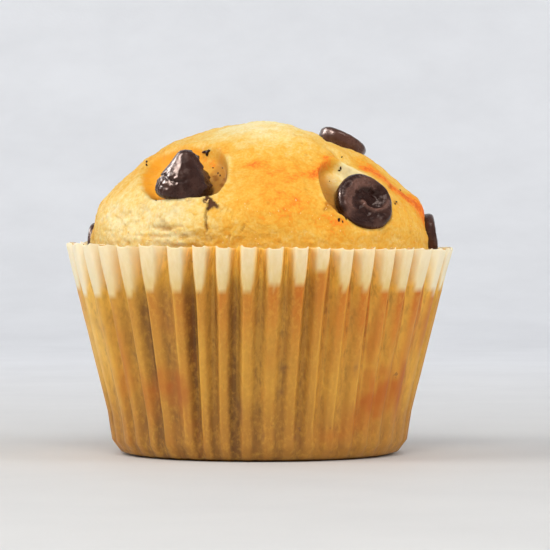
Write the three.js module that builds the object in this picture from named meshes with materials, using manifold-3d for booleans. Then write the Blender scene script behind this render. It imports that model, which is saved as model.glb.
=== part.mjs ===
// A chocolate-chip muffin in its pleated paper baking cup, in millimetres, +Z up.
// The origin is the centre of the flat base that it stands on, and -Y is the front.
// A bearing is an angle round the axis in degrees, 0 at the front and +90 at the right (+X).
import * as THREE from 'three';
import { mergeVertices } from 'three/addons/utils/BufferGeometryUtils.js';
import Module from 'manifold-3d';

// ---- Driving dimensions ----

const RIM_RADIUS = 36.3; // out to the pleats' crests, at the paper's edge
const RIM_HEIGHT = 39;
const WALL_RUN = 0.25; // outward run of the wall for each millimetre up
const BASE_RADIUS = 23.8; // the flat disc that touches the table
const PAPER = 0.45; // a stand-in for 0.1 mm greaseproof paper, thick enough to be a solid
const SEAT_GAP = 0.3; // clearance between pieces that touch in the real muffin

const PLEAT_COUNT = 45;
const FIRST_FRONT_PLEAT = -72.6; // bearing of the leftmost crest that is placed by hand
// Widths in degrees of the pleats that follow it, from left to right.
const FRONT_PLEAT_WIDTHS = [
  11.1, 8.9, 9, 8.6, 10.2, 7.2, 7, 7.4, 7.9, 7.7, 6.2, 7.6, 7.1, 7.9, 7.8, 9, 13,
];
// How far in degrees each of these crests leans sideways, from the paper's edge down to the foot's top.
const FRONT_PLEAT_LEANS = [
  0, 0, -0.8, -1.2, -1.7, -2.2, -2.7, -2.6, -1.9, -1.5, -1.3, 0, 0.2, 2.2, 2.4, 1.4, 0.8, 0,
];
// Depth of the valley after each of them where the cake fills it, as a share of the full depth there.
const FRONT_VALLEY_SHARES = [
  0.7, 0.8, 0.8, 0.8, 0.4, 1.1, 0.9, 0.95, 0.65, 0.6, 0.85, 0.8, 0.6, 0.75, 0.5, 0.5, 0.5, 0.6,
];
const OTHER_VALLEY_SHARE = 0.75;
const PLEAT_SEED = 7;
const PLEAT_JITTER = 0.9; // degrees, on the crests that are not placed by hand
// Depth at crest, flank, valley and flank, as shares of the pleat's whole depth.
const FREE_PLEAT = [0, 0.1, 1, 0.1]; // at the paper's edge, where nothing fills the pleats
const HELD_PLEAT = [0, 0.35, 1, 0.35]; // where the cake fills them
const PLEAT_DEPTH_JITTER = 0.06;
const RIM_DIP = 0.2; // how far the crests of the paper's edge lie below its valleys
const RIM_SLANT = 0.75; // degrees by which the paper's edge falls from left to right
// Where the cake and the chips at its side press the pleats flatter.
const PRESSED = [
  { bearing: 72, width: 14, share: 0.5 },
  { bearing: 90, width: 11, share: 0.68 },
  { bearing: -76, width: 16, share: 0.5 },
  { bearing: -100, width: 11, share: 0.62 },
];

// Rows of the paper's outer face, from the flat base up: crest radius, height, pleat depth, and lean,
// the angle in degrees that the wall's inward normal makes with the horizontal.
const FOOT_TOP = 8;
const BASE_ROW = { radius: BASE_RADIUS, height: 0, depth: 0, lean: 90 };
const CORNER_ROW = { radius: 26.1, height: 0.6, depth: 0.25, lean: 60 };
const FOOT_ROW = { radius: 27.7, height: 2.7, depth: 0.8, lean: 24 };
const FOOT_TOP_PLEAT = 1.1; // pleat depth there
const RIM_PLEAT = 2.5;
const CONTACT_HEIGHT = 30.9; // the cake fills the whole pleat below this, and leaves the crests above it

// The baked dome's outline, radius and height, from its top down to just above the paper's edge.
const DOME_OUTLINE = [
  [0, 62.1], [9, 61.2], [17.4, 57.8], [24.8, 52.2], [29.8, 47.2], [31.5, 43], [31.7, 38.9],
];
const OUTLINE_SAMPLES = 200; // points at which the outline is read off
const DOME_RINGS = 30; // ring n has 6 n corners, so the last has four for each pleat
const BLENDED_RINGS = 12; // the lowest rings, whose corners drift from even spacing to the pleats' own

// Slow swells of the dome: wave numbers per millimetre, phase and height.
const SWELLS = [
  { wave: [0.19, 0.07, 0.11], phase: 0.6, height: 0.32 },
  { wave: [-0.08, 0.23, 0.15], phase: 2.1, height: 0.28 },
  { wave: [0.31, -0.17, 0.24], phase: 4.0, height: 0.2 },
  { wave: [0.12, 0.36, -0.29], phase: 1.2, height: 0.16 },
];
const SWELL_FOOT = 40; // swells fade in over SWELL_FADE above this height
const SWELL_FADE = 4;

// Hollows round the chips and bulges of the crumb: bearing and height of the centre, radius and depth.
// A negative depth is a bulge. Floor is the share of the radius that is level.
const HOLLOWS = [
  { bearing: -31, height: 53.4, radius: 8.4, depth: 2.5, floor: 0.35 },
  { bearing: 38, height: 49.6, radius: 7.4, depth: 2.1, floor: 0.4 },
  { bearing: 58, height: 57.3, radius: 7.5, depth: 1.1, floor: 0.3 },
  { bearing: 152, height: 51.5, radius: 7.6, depth: 1.8, floor: 0.35 },
  { bearing: -128, height: 54, radius: 7.4, depth: 1.9, floor: 0.35 },
  { bearing: -170, height: 46, radius: 7, depth: 1.2, floor: 0.3 },
  { bearing: -26, height: 44.6, radius: 8.5, depth: -0.9, floor: 0.2 },
  { bearing: -30, height: 46.2, radius: 5, depth: -0.35, floor: 0.1 },
  { bearing: -88, height: 51.5, radius: 6.5, depth: 1, floor: 0.2 },
  { bearing: 57, height: 54.8, radius: 6.5, depth: 1, floor: 0.1 },
  { bearing: -85, height: 57.4, radius: 6.5, depth: -0.3, floor: 0.2 },
  { bearing: 92, height: 60.8, radius: 12, depth: 1.1, floor: 0.2 },
  { bearing: 90, height: 61.6, radius: 6, depth: 0.5, floor: 0.2 },
  { bearing: 85, height: 46.5, radius: 5, depth: -0.6, floor: 0.2 },
  { bearing: 8, height: 50, radius: 11, depth: -0.5, floor: 0.2 },
];

// A chip is a plump cone: radius and height from the middle of its flat base to its tip.
const CHIP_RADIUS = 5.3;
const CHIP_OUTLINE = [
  [0, 0], [4.6, 0], [5.3, 1], [5.1, 2.4], [4, 4.7], [2.3, 7.5], [0, 9],
];
const CHIP_SIDES = 12;
// Middle of the flat base, the direction from base to tip, and the base's radius.
const CHIPS = [
  { name: 'chip_front_left', base: [-13.9, -23.1, 48.1], tip: [0.05, -0.17, 1], radius: 5.3 },
  { name: 'chip_front_right', base: [19.5, -22.9, 47.6], tip: [-0.42, 0.78, -0.42], radius: 5.6 },
  { name: 'chip_top_right', base: [16.3, 8.6, 59.5], tip: [-0.45, -0.2, -0.87], radius: 4.8 },
  { name: 'chip_right_side', base: [33.2, 1, 40.7], tip: [-1, 0, -0.13], radius: 4.6 },
  { name: 'chip_left_side', base: [-31.9, 6.2, 39.2], tip: [1, -0.17, 0], radius: 4.2 },
  { name: 'chip_back_right', base: [12.6, 23.9, 49.6], tip: [-0.1, -0.35, -0.9], radius: 5.2 },
  { name: 'chip_back_left', base: [-18.6, 14.2, 54.8], tip: [0.5, -0.4, -0.72], radius: 5.3 },
  { name: 'chip_back_low', base: [-5.3, 32.2, 44.6], tip: [0.16, -0.95, -0.25], radius: 4.9 },
  { name: 'chip_top_back', base: [1.5, 13.6, 60.9], tip: [-0.05, -0.2, -0.95], radius: 5 },
];

const FINISHES = {
  paper: { colour: 0xe9d3a4, roughness: 0.6 },
  cake: { colour: 0xe8b455, roughness: 0.75 },
  chip: { colour: 0x2e1d18, roughness: 0.4 },
};
const WELD_DISTANCE = 1e-4; // corners closer than this are one

// ---- Small helpers ----

const radians = THREE.MathUtils.degToRad;
const smoothstep = THREE.MathUtils.smoothstep;

const GENERATOR = { factor: 16807, modulus: 2147483647 };

/** Random numbers from 0 to 1 that are the same on every run. */
function seeded(seed) {
  let state = seed;
  return () => {
    state = (state * GENERATOR.factor) % GENERATOR.modulus;
    return state / GENERATOR.modulus;
  };
}

/** The smallest turn from one bearing to another, in degrees. */
function turnBetween(a, b) {
  return Math.abs(((a - b + 540) % 360) - 180);
}

function polar(radius, bearing, height) {
  const angle = radians(bearing);
  return new THREE.Vector3(radius * Math.sin(angle), -radius * Math.cos(angle), height);
}

// ---- Pleats ----

/** Each pleat's crest bearing, lean and depth factors, once round from the first hand-placed crest. */
function layOutPleats() {
  const random = seeded(PLEAT_SEED);
  const placed = FRONT_PLEAT_WIDTHS.reduce((sum, width) => sum + width, 0);
  const evenWidth = (360 - placed) / (PLEAT_COUNT - FRONT_PLEAT_WIDTHS.length);
  const pleats = [];
  let bearing = FIRST_FRONT_PLEAT;
  for (let n = 0; n < PLEAT_COUNT; n += 1) {
    const free = n > FRONT_PLEAT_WIDTHS.length;
    const moved = free ? PLEAT_JITTER * (2 * random() - 1) : 0;
    const depth = 1 + PLEAT_DEPTH_JITTER * (2 * random() - 1);
    const lean = FRONT_PLEAT_LEANS[n] ?? 0;
    pleats.push({ crest: bearing + moved, depth, lean, held: FRONT_VALLEY_SHARES[n] ?? OTHER_VALLEY_SHARE });
    bearing += FRONT_PLEAT_WIDTHS[n] ?? evenWidth;
  }
  return pleats;
}

/** The corners that every pleated ring shares: bearing, lean and pleat depth share, four to a pleat. */
function layOutCorners() {
  const pleats = layOutPleats();
  const corners = [];
  pleats.forEach((pleat, n) => {
    const after = pleats[(n + 1) % pleats.length];
    const next = after === pleats[0] ? after.crest + 360 : after.crest;
    FREE_PLEAT.forEach((free, quarter) => {
      const bearing = THREE.MathUtils.lerp(pleat.crest, next, quarter / FREE_PLEAT.length);
      const lean = THREE.MathUtils.lerp(pleat.lean, after.lean, quarter / FREE_PLEAT.length);
      const pressed = PRESSED.reduce((most, place) => {
        const away = turnBetween(bearing, place.bearing) / place.width;
        return Math.max(most, place.share * Math.exp(-away * away));
      }, 0);
      const whole = pleat.depth * (1 - pressed);
      const held = HELD_PLEAT[quarter] * whole * pleat.held;
      corners.push({ bearing, lean, open: free * whole, held, crest: 1 - free });
    });
  });
  return corners;
}

const CORNERS = layOutCorners();

/** A row of the straight wall at any height between the foot's top and the rim. */
function wallRow(height) {
  return {
    radius: RIM_RADIUS - WALL_RUN * (RIM_HEIGHT - height),
    height,
    depth: THREE.MathUtils.mapLinear(height, FOOT_TOP, RIM_HEIGHT, FOOT_TOP_PLEAT, RIM_PLEAT),
    lean: 0,
  };
}

const WALL_ROWS = [FOOT_TOP, CONTACT_HEIGHT].map(wallRow);
const PAPER_ROWS = [BASE_ROW, CORNER_ROW, FOOT_ROW, ...WALL_ROWS, wallRow(RIM_HEIGHT)];
const CAKE_ROWS = [...WALL_ROWS.toReversed(), FOOT_ROW, BASE_ROW]; // from the contact height down

/** One pleated ring, moved inwards from the paper's outer face by inset. */
function pleatedRing(row, inset) {
  const slope = radians(row.lean);
  const atRim = row.height === RIM_HEIGHT;
  const fallen = THREE.MathUtils.clamp((RIM_HEIGHT - row.height) / (RIM_HEIGHT - FOOT_TOP), 0, 1);
  return CORNERS.map(({ bearing, lean, open, held, crest }) => {
    const depth = row.depth * (atRim ? open : held);
    const radius = row.radius - depth - inset * Math.cos(slope);
    const point = polar(radius, bearing + lean * fallen, row.height + inset * Math.sin(slope));
    if (atRim) point.z -= RIM_DIP * crest + point.x * Math.tan(radians(RIM_SLANT));
    return point;
  });
}

// ---- The dome ----

const domeCurve = new THREE.SplineCurve(DOME_OUTLINE.map((point) => new THREE.Vector2(...point)));

/** The outline's radius at a height, read off the curve. */
function domeRadiusAt(height) {
  const points = domeCurve.getSpacedPoints(OUTLINE_SAMPLES);
  const below = points.findIndex((point) => point.y <= height);
  return below < 0 ? points[points.length - 1].x : points[below].x;
}

function swellAt(point) {
  const sum = SWELLS.reduce((total, { wave, phase, height }) => {
    const turn = wave[0] * point.x + wave[1] * point.y + wave[2] * point.z + phase;
    return total + height * Math.sin(turn);
  }, 0);
  return sum * smoothstep(point.z, SWELL_FOOT, SWELL_FOOT + SWELL_FADE);
}

const hollowCentres = HOLLOWS.map(({ bearing, height, ...rest }) => ({
  centre: polar(domeRadiusAt(height), bearing, height),
  ...rest,
}));

function hollowAt(point) {
  return hollowCentres.reduce((total, { centre, radius, depth, floor }) => {
    const away = point.distanceTo(centre) / radius;
    return total + depth * (1 - smoothstep(away, floor, 1));
  }, 0);
}

/** A point of the dome: its place on the outline, swollen and hollowed along the outline's normal. */
function domePoint(share, bearing) {
  const { x: radius, y: height } = domeCurve.getPointAt(share);
  const along = domeCurve.getTangentAt(share);
  const place = polar(radius, bearing, height);
  const normal = polar(-along.y, bearing, along.x);
  return place.addScaledVector(normal, swellAt(place) - hollowAt(place));
}

/** The dome's rings from its top down, ring n with 6 n corners. The last has the pleats' corners. */
function domeRings() {
  const rings = [[domePoint(0, 0)]];
  const last = CORNERS.length;
  for (let n = 1; n <= DOME_RINGS; n += 1) {
    const count = 6 * n;
    const drift = smoothstep(n, DOME_RINGS - BLENDED_RINGS, DOME_RINGS);
    const ring = [];
    for (let k = 0; k < count; k += 1) {
      const place = (k / count) * last;
      const whole = Math.floor(place);
      const from = CORNERS[whole].bearing;
      const to = CORNERS[whole + 1]?.bearing ?? CORNERS[0].bearing + 360;
      const pleated = THREE.MathUtils.lerp(from, to, place - whole);
      const even = CORNERS[0].bearing + (360 * k) / count;
      ring.push(domePoint(n / DOME_RINGS, THREE.MathUtils.lerp(even, pleated, drift)));
    }
    rings.push(ring);
  }
  return rings;
}

// ---- Meshes from rings ----

class RingMesh {
  constructor() {
    this.positions = [];
    this.faces = [];
  }

  addPoint(point) {
    this.positions.push(point.x, point.y, point.z);
    return this.positions.length / 3 - 1;
  }

  addRing(ring) {
    return ring.map((point) => this.addPoint(point));
  }

  distance(a, b) {
    const [from, to] = [a, b].map((corner) => new THREE.Vector3().fromArray(this.positions, 3 * corner));
    return from.distanceTo(to);
  }

  /**
   * Joins two rings of equal count; the second one follows the first, going down the outside. Each four-sided
   * patch is split along its shorter diagonal, so that paper and cake fold alike.
   */
  joinEqual(upper, lower) {
    upper.forEach((a, k) => {
      const next = (k + 1) % upper.length;
      const [b, c, d] = [lower[k], lower[next], upper[next]];
      if (this.distance(a, c) < this.distance(b, d)) {
        this.faces.push(a, b, c, a, c, d);
      } else {
        this.faces.push(a, b, d, b, c, d);
      }
    });
  }

  /** Joins ring n of 6 n corners to ring n + 1. */
  joinGrowing(inner, outer, n) {
    for (let sector = 0; sector < 6; sector += 1) {
      for (let k = 0; k <= n; k += 1) {
        const a = inner[(sector * n + k) % inner.length];
        const b = outer[sector * (n + 1) + k];
        const c = outer[(sector * (n + 1) + k + 1) % outer.length];
        this.faces.push(a, b, c);
        if (k < n) this.faces.push(a, c, inner[(sector * n + k + 1) % inner.length]);
      }
    }
  }

  /** Closes a ring with a fan round a middle point, facing up or down. */
  cap(ring, height, facesUp) {
    const middle = this.addPoint(new THREE.Vector3(0, 0, height));
    ring.forEach((corner, k) => {
      const next = ring[(k + 1) % ring.length];
      this.faces.push(middle, facesUp ? corner : next, facesUp ? next : corner);
    });
  }

  geometry() {
    const made = new THREE.BufferGeometry();
    made.setAttribute('position', new THREE.Float32BufferAttribute(this.positions, 3));
    made.setIndex(this.faces);
    return made;
  }
}

/** The paper cup: inner floor and wall going up, then outer wall and base going down. */
function paperCupGeometry() {
  const mesh = new RingMesh();
  const inner = PAPER_ROWS.map((row) => mesh.addRing(pleatedRing(row, PAPER)));
  const outer = PAPER_ROWS.map((row) => mesh.addRing(pleatedRing(row, 0))).reverse();
  mesh.cap(inner[0], PAPER, true);
  const rings = [...inner, ...outer];
  rings.slice(1).forEach((ring, n) => mesh.joinEqual(rings[n], ring));
  mesh.cap(rings[rings.length - 1], 0, false);
  return mesh.geometry();
}

/** The cake as one surface: dome, side moulded by the paper's pleats, and flat bottom. */
function cakeGeometry() {
  const mesh = new RingMesh();
  const dome = domeRings().map((ring) => mesh.addRing(ring));
  dome[1].forEach((corner, k) => {
    mesh.faces.push(dome[0][0], corner, dome[1][(k + 1) % dome[1].length]);
  });
  for (let n = 1; n < DOME_RINGS; n += 1) mesh.joinGrowing(dome[n], dome[n + 1], n);
  const held = CAKE_ROWS.map((row) => mesh.addRing(pleatedRing(row, PAPER + SEAT_GAP)));
  const rings = [dome[DOME_RINGS], ...held];
  rings.slice(1).forEach((ring, n) => mesh.joinEqual(rings[n], ring));
  mesh.cap(rings[rings.length - 1], PAPER + SEAT_GAP, false);
  return mesh.geometry();
}

/** A chip with the middle of its base at the origin and its tip up, grown all round by margin. */
function chipGeometry(radius, margin) {
  const scale = (radius + margin) / CHIP_RADIUS;
  const outline = CHIP_OUTLINE.map(([r, h]) => new THREE.Vector2(r * scale, h * scale - margin));
  return new THREE.LatheGeometry(outline, CHIP_SIDES).rotateX(Math.PI / 2);
}

/** Turns a chip's own upward axis to its direction and moves it to its place. */
function chipMatrix({ base, tip }) {
  const axis = new THREE.Vector3(...tip).normalize();
  const turn = new THREE.Quaternion().setFromUnitVectors(new THREE.Vector3(0, 0, 1), axis);
  return new THREE.Matrix4().compose(new THREE.Vector3(...base), turn, new THREE.Vector3(1, 1, 1));
}

// ---- Cutting ----

const wasm = await Module();
wasm.setup();

function toSolid(geometry) {
  const bare = geometry.clone();
  bare.deleteAttribute('normal');
  bare.deleteAttribute('uv');
  const merged = mergeVertices(bare, WELD_DISTANCE);
  return new wasm.Manifold(new wasm.Mesh({
    numProp: 3,
    vertProperties: merged.attributes.position.array,
    triVerts: new Uint32Array(merged.index.array),
  }));
}

/** The largest body of a solid, back as a geometry. */
function toGeometry(solid) {
  const largest = solid.decompose().reduce((most, body) => (body.volume() > most.volume() ? body : most));
  const { numProp, numVert, vertProperties, triVerts } = largest.getMesh();
  const positions = new Float32Array(numVert * 3);
  for (let n = 0; n < numVert; n += 1) {
    positions.set(vertProperties.subarray(n * numProp, n * numProp + 3), n * 3);
  }
  const made = new THREE.BufferGeometry();
  made.setAttribute('position', new THREE.BufferAttribute(positions, 3));
  made.setIndex(new THREE.BufferAttribute(new Uint32Array(triVerts), 1));
  return made;
}

/** The cake with a seat for each chip cut out of it. */
function cutCakeGeometry() {
  let cake = toSolid(cakeGeometry());
  for (const chip of CHIPS) {
    const seat = chipGeometry(chip.radius, SEAT_GAP).applyMatrix4(chipMatrix(chip));
    cake = cake.subtract(toSolid(seat));
  }
  return toGeometry(cake);
}

// ---- The muffin ----

function named(name, geometry, { colour, roughness }) {
  const material = new THREE.MeshStandardMaterial({ color: colour, roughness, metalness: 0 });
  const mesh = new THREE.Mesh(geometry, material);
  mesh.name = name;
  return mesh;
}

const muffin = new THREE.Group();
muffin.add(named('paper_cup', paperCupGeometry(), FINISHES.paper));
muffin.add(named('cake', cutCakeGeometry(), FINISHES.cake));
for (const chip of CHIPS) {
  const mesh = named(chip.name, chipGeometry(chip.radius, 0), FINISHES.chip);
  mesh.applyMatrix4(chipMatrix(chip));
  muffin.add(mesh);
}

export default muffin;
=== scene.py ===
"""Looks for a chocolate-chip muffin that stands in its pleated paper baking cup.

The shape classes work in millimetres, as the part's own source does, and every mesh is scaled to
metres when it is made. A bearing is an angle round the muffin's axis in degrees: 0 is the front
(-Y) and +90 is the right (+X).
"""

import enum
import itertools
import logging
import math
from dataclasses import dataclass, field
from typing import Sequence

import bmesh
import bpy
import numpy as np
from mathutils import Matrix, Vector
from mathutils.bvhtree import BVHTree


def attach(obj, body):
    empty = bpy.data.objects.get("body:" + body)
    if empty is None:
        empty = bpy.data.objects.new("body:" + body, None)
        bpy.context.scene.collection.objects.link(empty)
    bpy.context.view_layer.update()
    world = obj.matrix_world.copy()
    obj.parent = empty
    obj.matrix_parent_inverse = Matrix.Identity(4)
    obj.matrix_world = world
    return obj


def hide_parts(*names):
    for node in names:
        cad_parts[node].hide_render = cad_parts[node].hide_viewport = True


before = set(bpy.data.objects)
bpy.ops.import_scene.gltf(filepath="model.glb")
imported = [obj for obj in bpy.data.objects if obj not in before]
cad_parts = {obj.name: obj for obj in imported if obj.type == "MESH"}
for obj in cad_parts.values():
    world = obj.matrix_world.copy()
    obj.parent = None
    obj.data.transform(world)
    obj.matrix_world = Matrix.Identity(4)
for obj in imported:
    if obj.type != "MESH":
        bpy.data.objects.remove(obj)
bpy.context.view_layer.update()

LOG = logging.getLogger("muffin")
MM = 0.001
BODY = "root"

Array = np.ndarray
Pair = tuple[float, float]
Triple = tuple[float, float, float]
Colour = Triple
Socket = bpy.types.NodeSocket
Node = bpy.types.Node
Tree = bpy.types.NodeTree
Material = bpy.types.Material
Thing = bpy.types.Object


# --- Numbers and points ---


def ease(value: Array | float, low: float | Array, high: float | Array) -> Array:
    """Eases from 0, where the value is at low, to 1, where it is at high."""
    share = np.clip((np.asarray(value, float) - low) / (np.asarray(high) - low), 0.0, 1.0)
    return share * share * (3.0 - 2.0 * share)


def bell(value: Array, middle: float, width: float | Array) -> Array:
    """A rounded peak, 1 where the value is at its middle."""
    return np.exp(-(((value - middle) / width) ** 2))


def polar(radius: Array | float, bearing: Array | float, height: Array | float) -> Array:
    """Points from cylinder coordinates.

    Args:
        radius: Distance from the axis.
        bearing: Bearing in degrees.
        height: Height above the base.

    Returns:
        An array with one row of X, Y and Z for each point.
    """
    angle = np.radians(bearing)
    parts = np.broadcast_arrays(radius * np.sin(angle), -radius * np.cos(angle), height)
    return np.stack(parts, axis=-1).astype(float)


def unit(vectors: Array) -> Array:
    """The vectors at length 1."""
    return vectors / np.linalg.norm(vectors, axis=-1, keepdims=True)


def turn_between(a: Array, b: float) -> Array:
    """The signed turn from bearing b to bearing a, in degrees, from -180 to 180."""
    return (np.asarray(a) - b + 180.0) % 360.0 - 180.0


def distance_to_path(points: Array, path: Array) -> tuple[Array, Array]:
    """How far points lie from a path of straight stretches.

    Args:
        points: One row for each point.
        path: The path's corners, one row each.

    Returns:
        The distance of each point, and how far along the path its nearest place lies, from 0 to 1.
    """
    best = np.full(len(points), np.inf)
    along = np.zeros(len(points))
    stretches = len(path) - 1
    for number, (start, end) in enumerate(zip(path[:-1], path[1:])):
        run = end - start
        share = np.clip((points - start) @ run / (run @ run), 0.0, 1.0)
        away = np.linalg.norm(points - start - share[:, None] * run, axis=1)
        nearer = away < best
        best[nearer] = away[nearer]
        along[nearer] = (number + share[nearer]) / stretches
    return best, along


def smooth_path(corners: Array, steps: int = 80) -> Array:
    """A smooth curve through corners.

    Args:
        corners: One row for each corner.
        steps: Points from one corner to the next.

    Returns:
        The curve's points.
    """
    padded = np.vstack([corners[:1], corners, corners[-1:]])
    share = np.linspace(0.0, 1.0, steps, endpoint=False)[:, None]
    pieces = []
    for before, start, end, after in zip(padded, padded[1:], padded[2:], padded[3:]):
        leave, arrive = (end - before) / 2.0, (after - start) / 2.0
        cubic = 2 * start - 2 * end + leave + arrive
        square = -3 * start + 3 * end - 2 * leave - arrive
        pieces.append(cubic * share**3 + square * share**2 + leave * share + start)
    return np.vstack([*pieces, corners[-1:]])


def lengths_along(points: Array) -> Array:
    """How far along a path each of its points lies."""
    return np.concatenate([[0.0], np.cumsum(np.linalg.norm(np.diff(points, axis=0), axis=1))])


def each(kind: type, *rows: tuple) -> tuple:
    """One thing of a kind for each row of its sizes."""
    return tuple(kind(*row) for row in rows)


class Turbulence:
    """Smooth seeded noise in space, the same on every run."""

    CELLS = 256
    GAIN = 1.6

    def __init__(self, seed: int) -> None:
        """Draws the table of slopes.

        Args:
            seed: Which pattern it is.
        """
        draw = np.random.default_rng(seed)
        self.order = np.tile(draw.permutation(self.CELLS), 2)
        self.slopes = unit(draw.normal(size=(self.CELLS, 3)))

    def at(self, points: Array, size: float | Sequence[float] = 1.0) -> Array:
        """One layer of noise.

        Args:
            points: One row for each point.
            size: Width of a swell, one number or one for each axis.

        Returns:
            A value from about -1 to 1 for each point.
        """
        scaled = points / np.asarray(size, float)
        cell = np.floor(scaled).astype(int)
        local = scaled - cell
        eased = local**3 * (local * (local * 6.0 - 15.0) + 10.0)
        total = np.zeros(len(points))
        mask = self.CELLS - 1
        for corner in itertools.product((0, 1), repeat=3):
            near = np.array(corner)
            i, j, k = ((cell + near) & mask).T
            key = self.order[self.order[self.order[i] + j] + k]
            reach = np.einsum("ij,ij->i", self.slopes[key], local - near)
            total += np.prod(np.where(near, eased, 1.0 - eased), axis=1) * reach
        return total * self.GAIN

    def fractal(self, points: Array, size: float | Sequence[float], layers: int = 3) -> Array:
        """Layers of noise, each half as wide and half as strong as the one before.

        Args:
            points: One row for each point.
            size: Width of the widest swell.
            layers: How many layers.

        Returns:
            A value from about -1 to 1 for each point.
        """
        sizes = np.asarray(size, float)
        layered = [self.at(points + 17.3 * n, sizes / 2**n) / 2**n for n in range(layers)]
        return sum(layered) / sum(0.5**n for n in range(layers))

    def ridged(self, points: Array, size: float | Sequence[float], layers: int = 2) -> Array:
        """Noise folded into narrow furrows.

        Args:
            points: One row for each point.
            size: Distance between furrows, roughly.
            layers: How many layers.

        Returns:
            A value for each point, near 1 in a furrow and near 0 away from them.
        """
        sizes = np.asarray(size, float)
        layered = [
            (1.0 - np.abs(self.at(points - 9.1 * n, sizes / 2**n))) / 2**n for n in range(layers)
        ]
        return sum(layered) / sum(0.5**n for n in range(layers))


class Cells:
    """Seeded crumb-like cells in space."""

    SPAN = 64

    def __init__(self, seed: int) -> None:
        """Draws one middle and one number for each cell.

        Args:
            seed: Which pattern it is.
        """
        draw = np.random.default_rng(seed)
        self.middles = draw.uniform(0.1, 0.9, (self.SPAN**3, 3))
        self.numbers = draw.uniform(0.0, 1.0, self.SPAN**3)

    def at(self, points: Array, size: float) -> tuple[Array, Array, Array]:
        """Which cell each point is in.

        Args:
            points: One row for each point.
            size: Width of a cell.

        Returns:
            The distance to the cell's middle, how much farther the next one is, and the cell's number.
        """
        scaled = points / size
        cell = np.floor(scaled).astype(int)
        first, second = np.full((2, len(points)), np.inf)
        number = np.zeros(len(points))
        for step in itertools.product((-1, 0, 1), repeat=3):
            near = cell + np.array(step)
            i, j, k = (near % self.SPAN).T
            key = (i * self.SPAN + j) * self.SPAN + k
            away = np.linalg.norm(near + self.middles[key] - scaled, axis=1)
            closer = away < first
            second = np.where(closer, first, np.minimum(second, away))
            number = np.where(closer, self.numbers[key], number)
            first = np.where(closer, away, first)
        return first, second - first, number


# --- Node trees ---


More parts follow.
